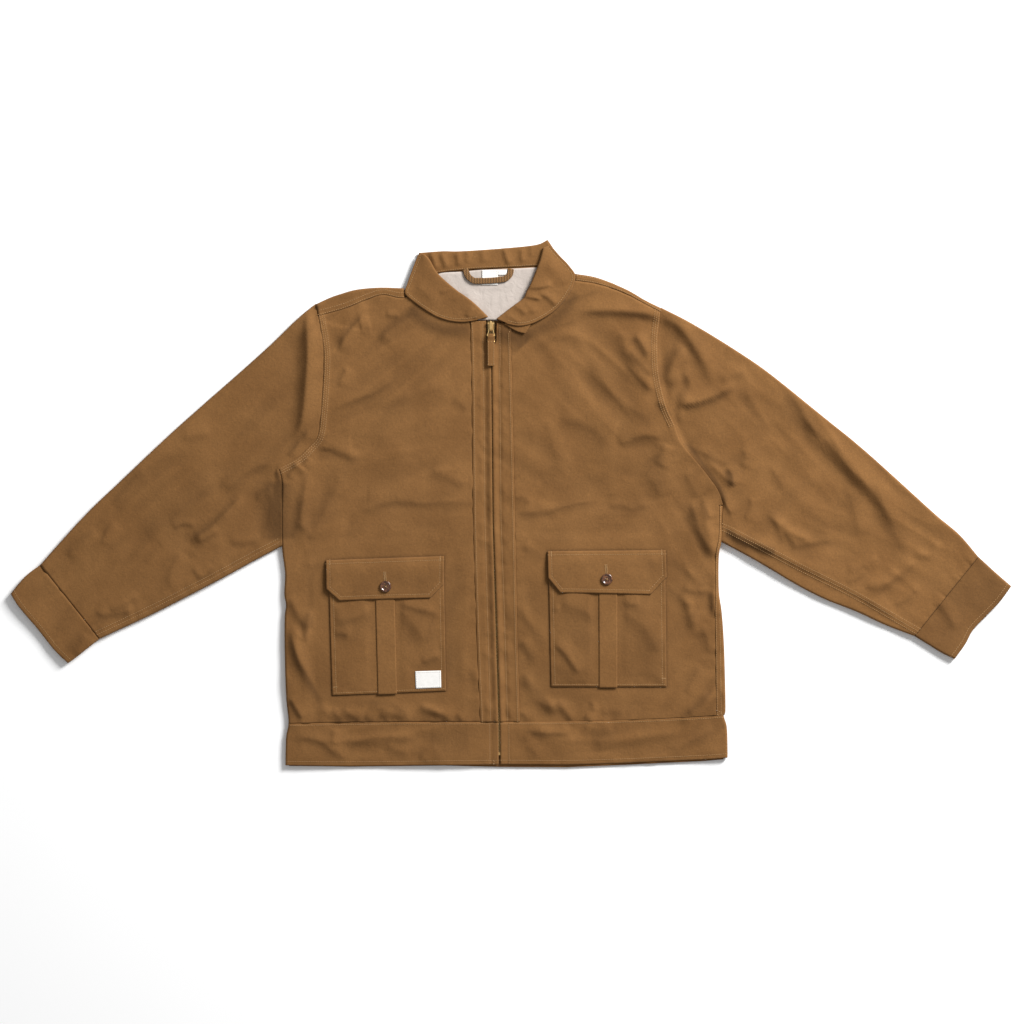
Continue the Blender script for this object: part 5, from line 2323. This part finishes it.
WAIST_XS = np.linspace(-326, 311, 80)
WAIST_LINE = np.stack([WAIST_XS, waist_y(WAIST_XS)], axis=-1)
SEWING = [
    ("body", smooth(ARMHOLES["left"]), (1.7, 4.9, 8.1), ("front_left",)),
    ("body", smooth(ARMHOLES["right"][:6]), (-1.7, -4.9, -8.1), ("front_right",)),
    ("body", smooth(SHOULDER_SEAMS["left"]), (1.7, 7.2), ("back",)),
    ("body", smooth(SHOULDER_SEAMS["right"]), (1.7, 7.2), ("back",)),
    ("body", smooth(RIGHT_SIDE_SEAM), (1.6, 7.0), ("back",)),
    ("body", band_seam("left"), (-2.8,), ("zip_band_left",)),
    ("body", band_seam("right"), (2.8,), ("zip_band_right",)),
    ("body", zip_line("left", -312, 258, 11), (0,), ("zip_band_left",)),
    ("body", zip_line("right", -312, 256, 11), (0,), ("zip_band_right",)),
    ("body", WAIST_LINE, (-2.4,), ("waistband_left", "waistband_right")),
    ("body", zip_line("left", -374, -320, 12.5), (0,), ("waistband_left",)),
    ("body", zip_line("right", -374, -320, 12.5), (0,), ("waistband_right",)),
    ("body", smooth(FRONT_HEM), (5.8,), ("waistband_left", "waistband_right")),
    ("sleeves", smooth(CUFF_MOUTH["left"]), (6.4,), ("cuff_left",)),
    ("sleeves", smooth(CUFF_MOUTH["right"]), (-6.4,), ("cuff_right",)),
    ("sleeves", smooth(SLEEVE_LOWER["left"]), (-7.0, -12.0), ("sleeve_left",)),
    ("sleeves", smooth(UNDERARM["right"]), (0.0, -4.6, -9.2), ("sleeve_right",)),
    ("collar", leaf_edge("left"), (4.3,), ("collar_left",)),
    ("collar", leaf_edge("right"), (-4.3,), ("collar_right",)),
    ("collar", smooth(COLLAR_SEAM), (2.4,), ("collar_back",)),
]


def sides_dropped(outline, trees):
    """The sides of an outline, each dropped by itself."""
    return [run for pair in zip(outline, outline[1:]) for run in dropped(np.array(pair), trees)]


def stitches():
    groups = {}
    for group, line, distances, cloths in SEWING:
        trees = tops(*(f"{name}_cloth" for name in cloths))
        for distance in distances:
            groups.setdefault(group, []).extend(dropped(beside(line, distance), trees))
    rows = groups.setdefault("pockets", [])
    for side in SIGN:
        bag, outline = POCKETS[side]["bag"], POCKETS[side]["flap"]
        bag_trees, flap_trees = tops(f"pocket_{side}_cloth"), tops(f"flap_{side}_cloth")
        sides, foot = (inset(bag, distance) for distance in BAG_STITCHES)
        for line in (sides[0:2], sides[2:4], foot[1:3]):
            rows += dropped(line, bag_trees)
        rows += sides_dropped(inset(outline, FLAP_STITCHES), flap_trees)
        rows += dropped(inset([outline[-1], outline[0]], FLAP_STITCHES), flap_trees)
    for group, lines in groups.items():
        along_lines(f"stitches_{group}", lines, STITCH_PITCH, STITCH, "thread")
    rows = []
    for node, corners, distance in (("pocket_label", POCKET_LABEL, 1.6), ("neck_label", NECK_LABEL, 1.4)):
        outline = inset([*corners, corners[0], corners[1]], distance)
        rows += sides_dropped(outline[:5], tops(node + "_cloth"))
    along_lines("stitches_labels", rows, LABEL_PITCH, STITCH, "white_thread")
    half, high, low = TAB_STITCHES
    lines = [((side * half, -low), (side * half, -high)) for side in (-1, 1)]
    lines += [((-half, -y), (half, -y)) for y in (high, low)]
    tab = tops("zip_pull_tab_cloth")
    rows = [run for line in lines for run in dropped(np.array(line) + HINGE[:2], tab)]
    along_lines("stitches_pull_tab", rows, STITCH_PITCH, STITCH, "thread", body="pull")


stitches()


def satin_rows():
    """Bar tacks and the buttonholes, in close satin stitches."""
    lines = []
    for side, sizes in POCKETS.items():
        x, y = sizes["button"]
        flap_rows = [[(x + dx + shift, y + dy) for dx, dy in BUTTONHOLE]
                     for shift in (-BUTTONHOLE_SIDE, BUTTONHOLE_SIDE)]
        inward, *ends = FLAP_TACK
        for (cx, cy), way in ((sizes["flap"][0], 1), (sizes["flap"][-1], -1)):
            flap_rows.append([(cx + way * inward, cy - end) for end in ends])
        (cx, cy), way = (sizes["bag"][1], 1) if side == "left" else (sizes["bag"][2], -1)
        *ends, above = BAG_TACK
        bag_rows = [[(cx + way * end, cy + above) for end in ends]]
        for node, rows in (("flap", flap_rows), ("pocket", bag_rows)):
            trees = tops(f"{node}_{side}_cloth")
            lines += [run for row in rows for run in dropped(row, trees, SATIN_LIFT, SATIN_STEP)]
    along_lines("bar_tacks", lines, SATIN_PITCH, SATIN, "thread")


satin_rows()


def button_threads():
    """Crossed threads through the four holes of each button."""
    lines = []
    reach, z = BUTTON_HOLE_SPREAD * 0.75, FLAP_REST + GAP + THREAD_LIFT
    for sizes in POCKETS.values():
        x, y = sizes["button"]
        for way in (-1, 1):
            lines.append([(x - reach, y - way * reach, z - THREAD_SINK), (x, y, z),
                          (x + reach, y + way * reach, z - THREAD_SINK)])
    along_lines("button_threads", lines, THREAD_PITCH, STITCH, "thread")


button_threads()
print("with stitches", len(PIECES))

# %% zip teeth
TOOTH_PITCH = 2.3
TEETH_TOP = 238
STOP_SIZE = (5.2, 4.2, 1.6)
STOP_ROUND = 0.45
TOOTH_OUTLINE = (
    (-1.9, -0.42), (0.2, -0.42), (0.75, -0.26), (1.1, 0), (0.75, 0.26), (0.2, 0.42), (-1.9, 0.42),
)
TOOTH_LEVELS = ((-0.15, 0.9), (0.25, 1.0), (0.75, 1.0), (0.95, 0.78))  # height and share of the outline


def tooth_thing():
    """One zip tooth, its nose towards +Y, seen along the zip as X."""
    verts = [(b * grow, a * grow, z) for z, grow in TOOTH_LEVELS for a, b in TOOTH_OUTLINE]
    count = len(TOOTH_OUTLINE)
    faces = []
    for r in range(len(TOOTH_LEVELS) - 1):
        for k in range(count):
            a, b = r * count + k, r * count + (k + 1) % count
            faces.append((b, a, a + count, b + count))
    faces += [tuple(range(count)), tuple(reversed(range(len(verts) - count, len(verts))))]
    return thing_from("tooth", verts, faces)


def teeth(side):
    shift = 0 if side == "left" else TOOTH_PITCH / 2
    ys = np.arange(ZIP_STOP_Y + 4 + shift, TEETH_TOP, TOOTH_PITCH / 2)
    x = zip_edge(side, ys, TAPE_OPENING)
    z = tape_top(ys) + 0.05
    line = np.stack([x, ys, z], axis=-1)
    if side == "left":
        line = line[::-1]
    along_lines(f"zip_teeth_{side}", [line], TOOTH_PITCH, TOOTH, "brass")


TOOTH = tooth_thing()
teeth("left")
teeth("right")


def zip_stop():
    y = ZIP_STOP_Y + 1.5
    x, z = x_of(ZIP_LINE, y), float(tape_top(np.array([y]))[0])
    work = bmesh.new()
    bmesh.ops.create_cube(work, size=1.0)
    bmesh.ops.scale(work, verts=work.verts, vec=[v * MM for v in STOP_SIZE])
    bmesh.ops.bevel(work, geom=work.edges[:], offset=STOP_ROUND * MM, segments=3, affect="EDGES",
                    profile=0.5)
    add_piece("zip_stop", placed(work, "zip_stop", (x, y, z + 0.5)), "brass", None)


zip_stop()
for thing in (STITCH, SATIN, TOOTH):
    bpy.data.objects.remove(thing, do_unlink=True)
print("with the zip's teeth and stop", len(PIECES))

# %% [markdown]
# The slider and puller keep their solids' shapes, with rounded edges and brass.

# %% metal parts
# Height up to which the brass is dark, height from which it is bright, and width of the rounded edges
METAL = {"zip_slider": (7.0, 12.4, 0.7), "zip_puller": (-0.9, 0.7, 0.4)}
SHARP = 35  # edges that turn by more degrees than this are rounded
for name, (low, high, width) in METAL.items():
    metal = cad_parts[name]
    metal.data.materials.clear()
    metal.data.materials.append(brass(name + " brass", low, high))
    rounding = metal.modifiers.new("rounded edges", "BEVEL")
    rounding.width = width * MM
    rounding.segments = 4
    rounding.limit_method = "ANGLE"
    rounding.angle_limit = math.radians(SHARP)

# %% [markdown]
# Each piece gets its finish, its body and the CAD node that it stands for. Each cloth piece is declared with
# the size of the flat cloth that shows.

# %% finishes and bodies
for name, (piece, kind, node, body) in PIECES.items():
    piece.data.materials.clear()
    piece.data.materials.append(finish(kind, node))
    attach(piece, body)
    if node:
        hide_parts(node)

# %% the box of the dressed jacket
low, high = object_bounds()
deps = bpy.context.evaluated_depsgraph_get()
counts = {}
for name, (piece, *_) in PIECES.items():
    mesh = piece.evaluated_get(deps).to_mesh()
    counts[name] = sum(len(face.vertices) - 2 for face in mesh.polygons)
print("triangles", sum(counts.values()), sorted(counts.items(), key=lambda item: -item[1])[:8])
print("visual box", [round(v, 4) for v in low], [round(v, 4) for v in high])
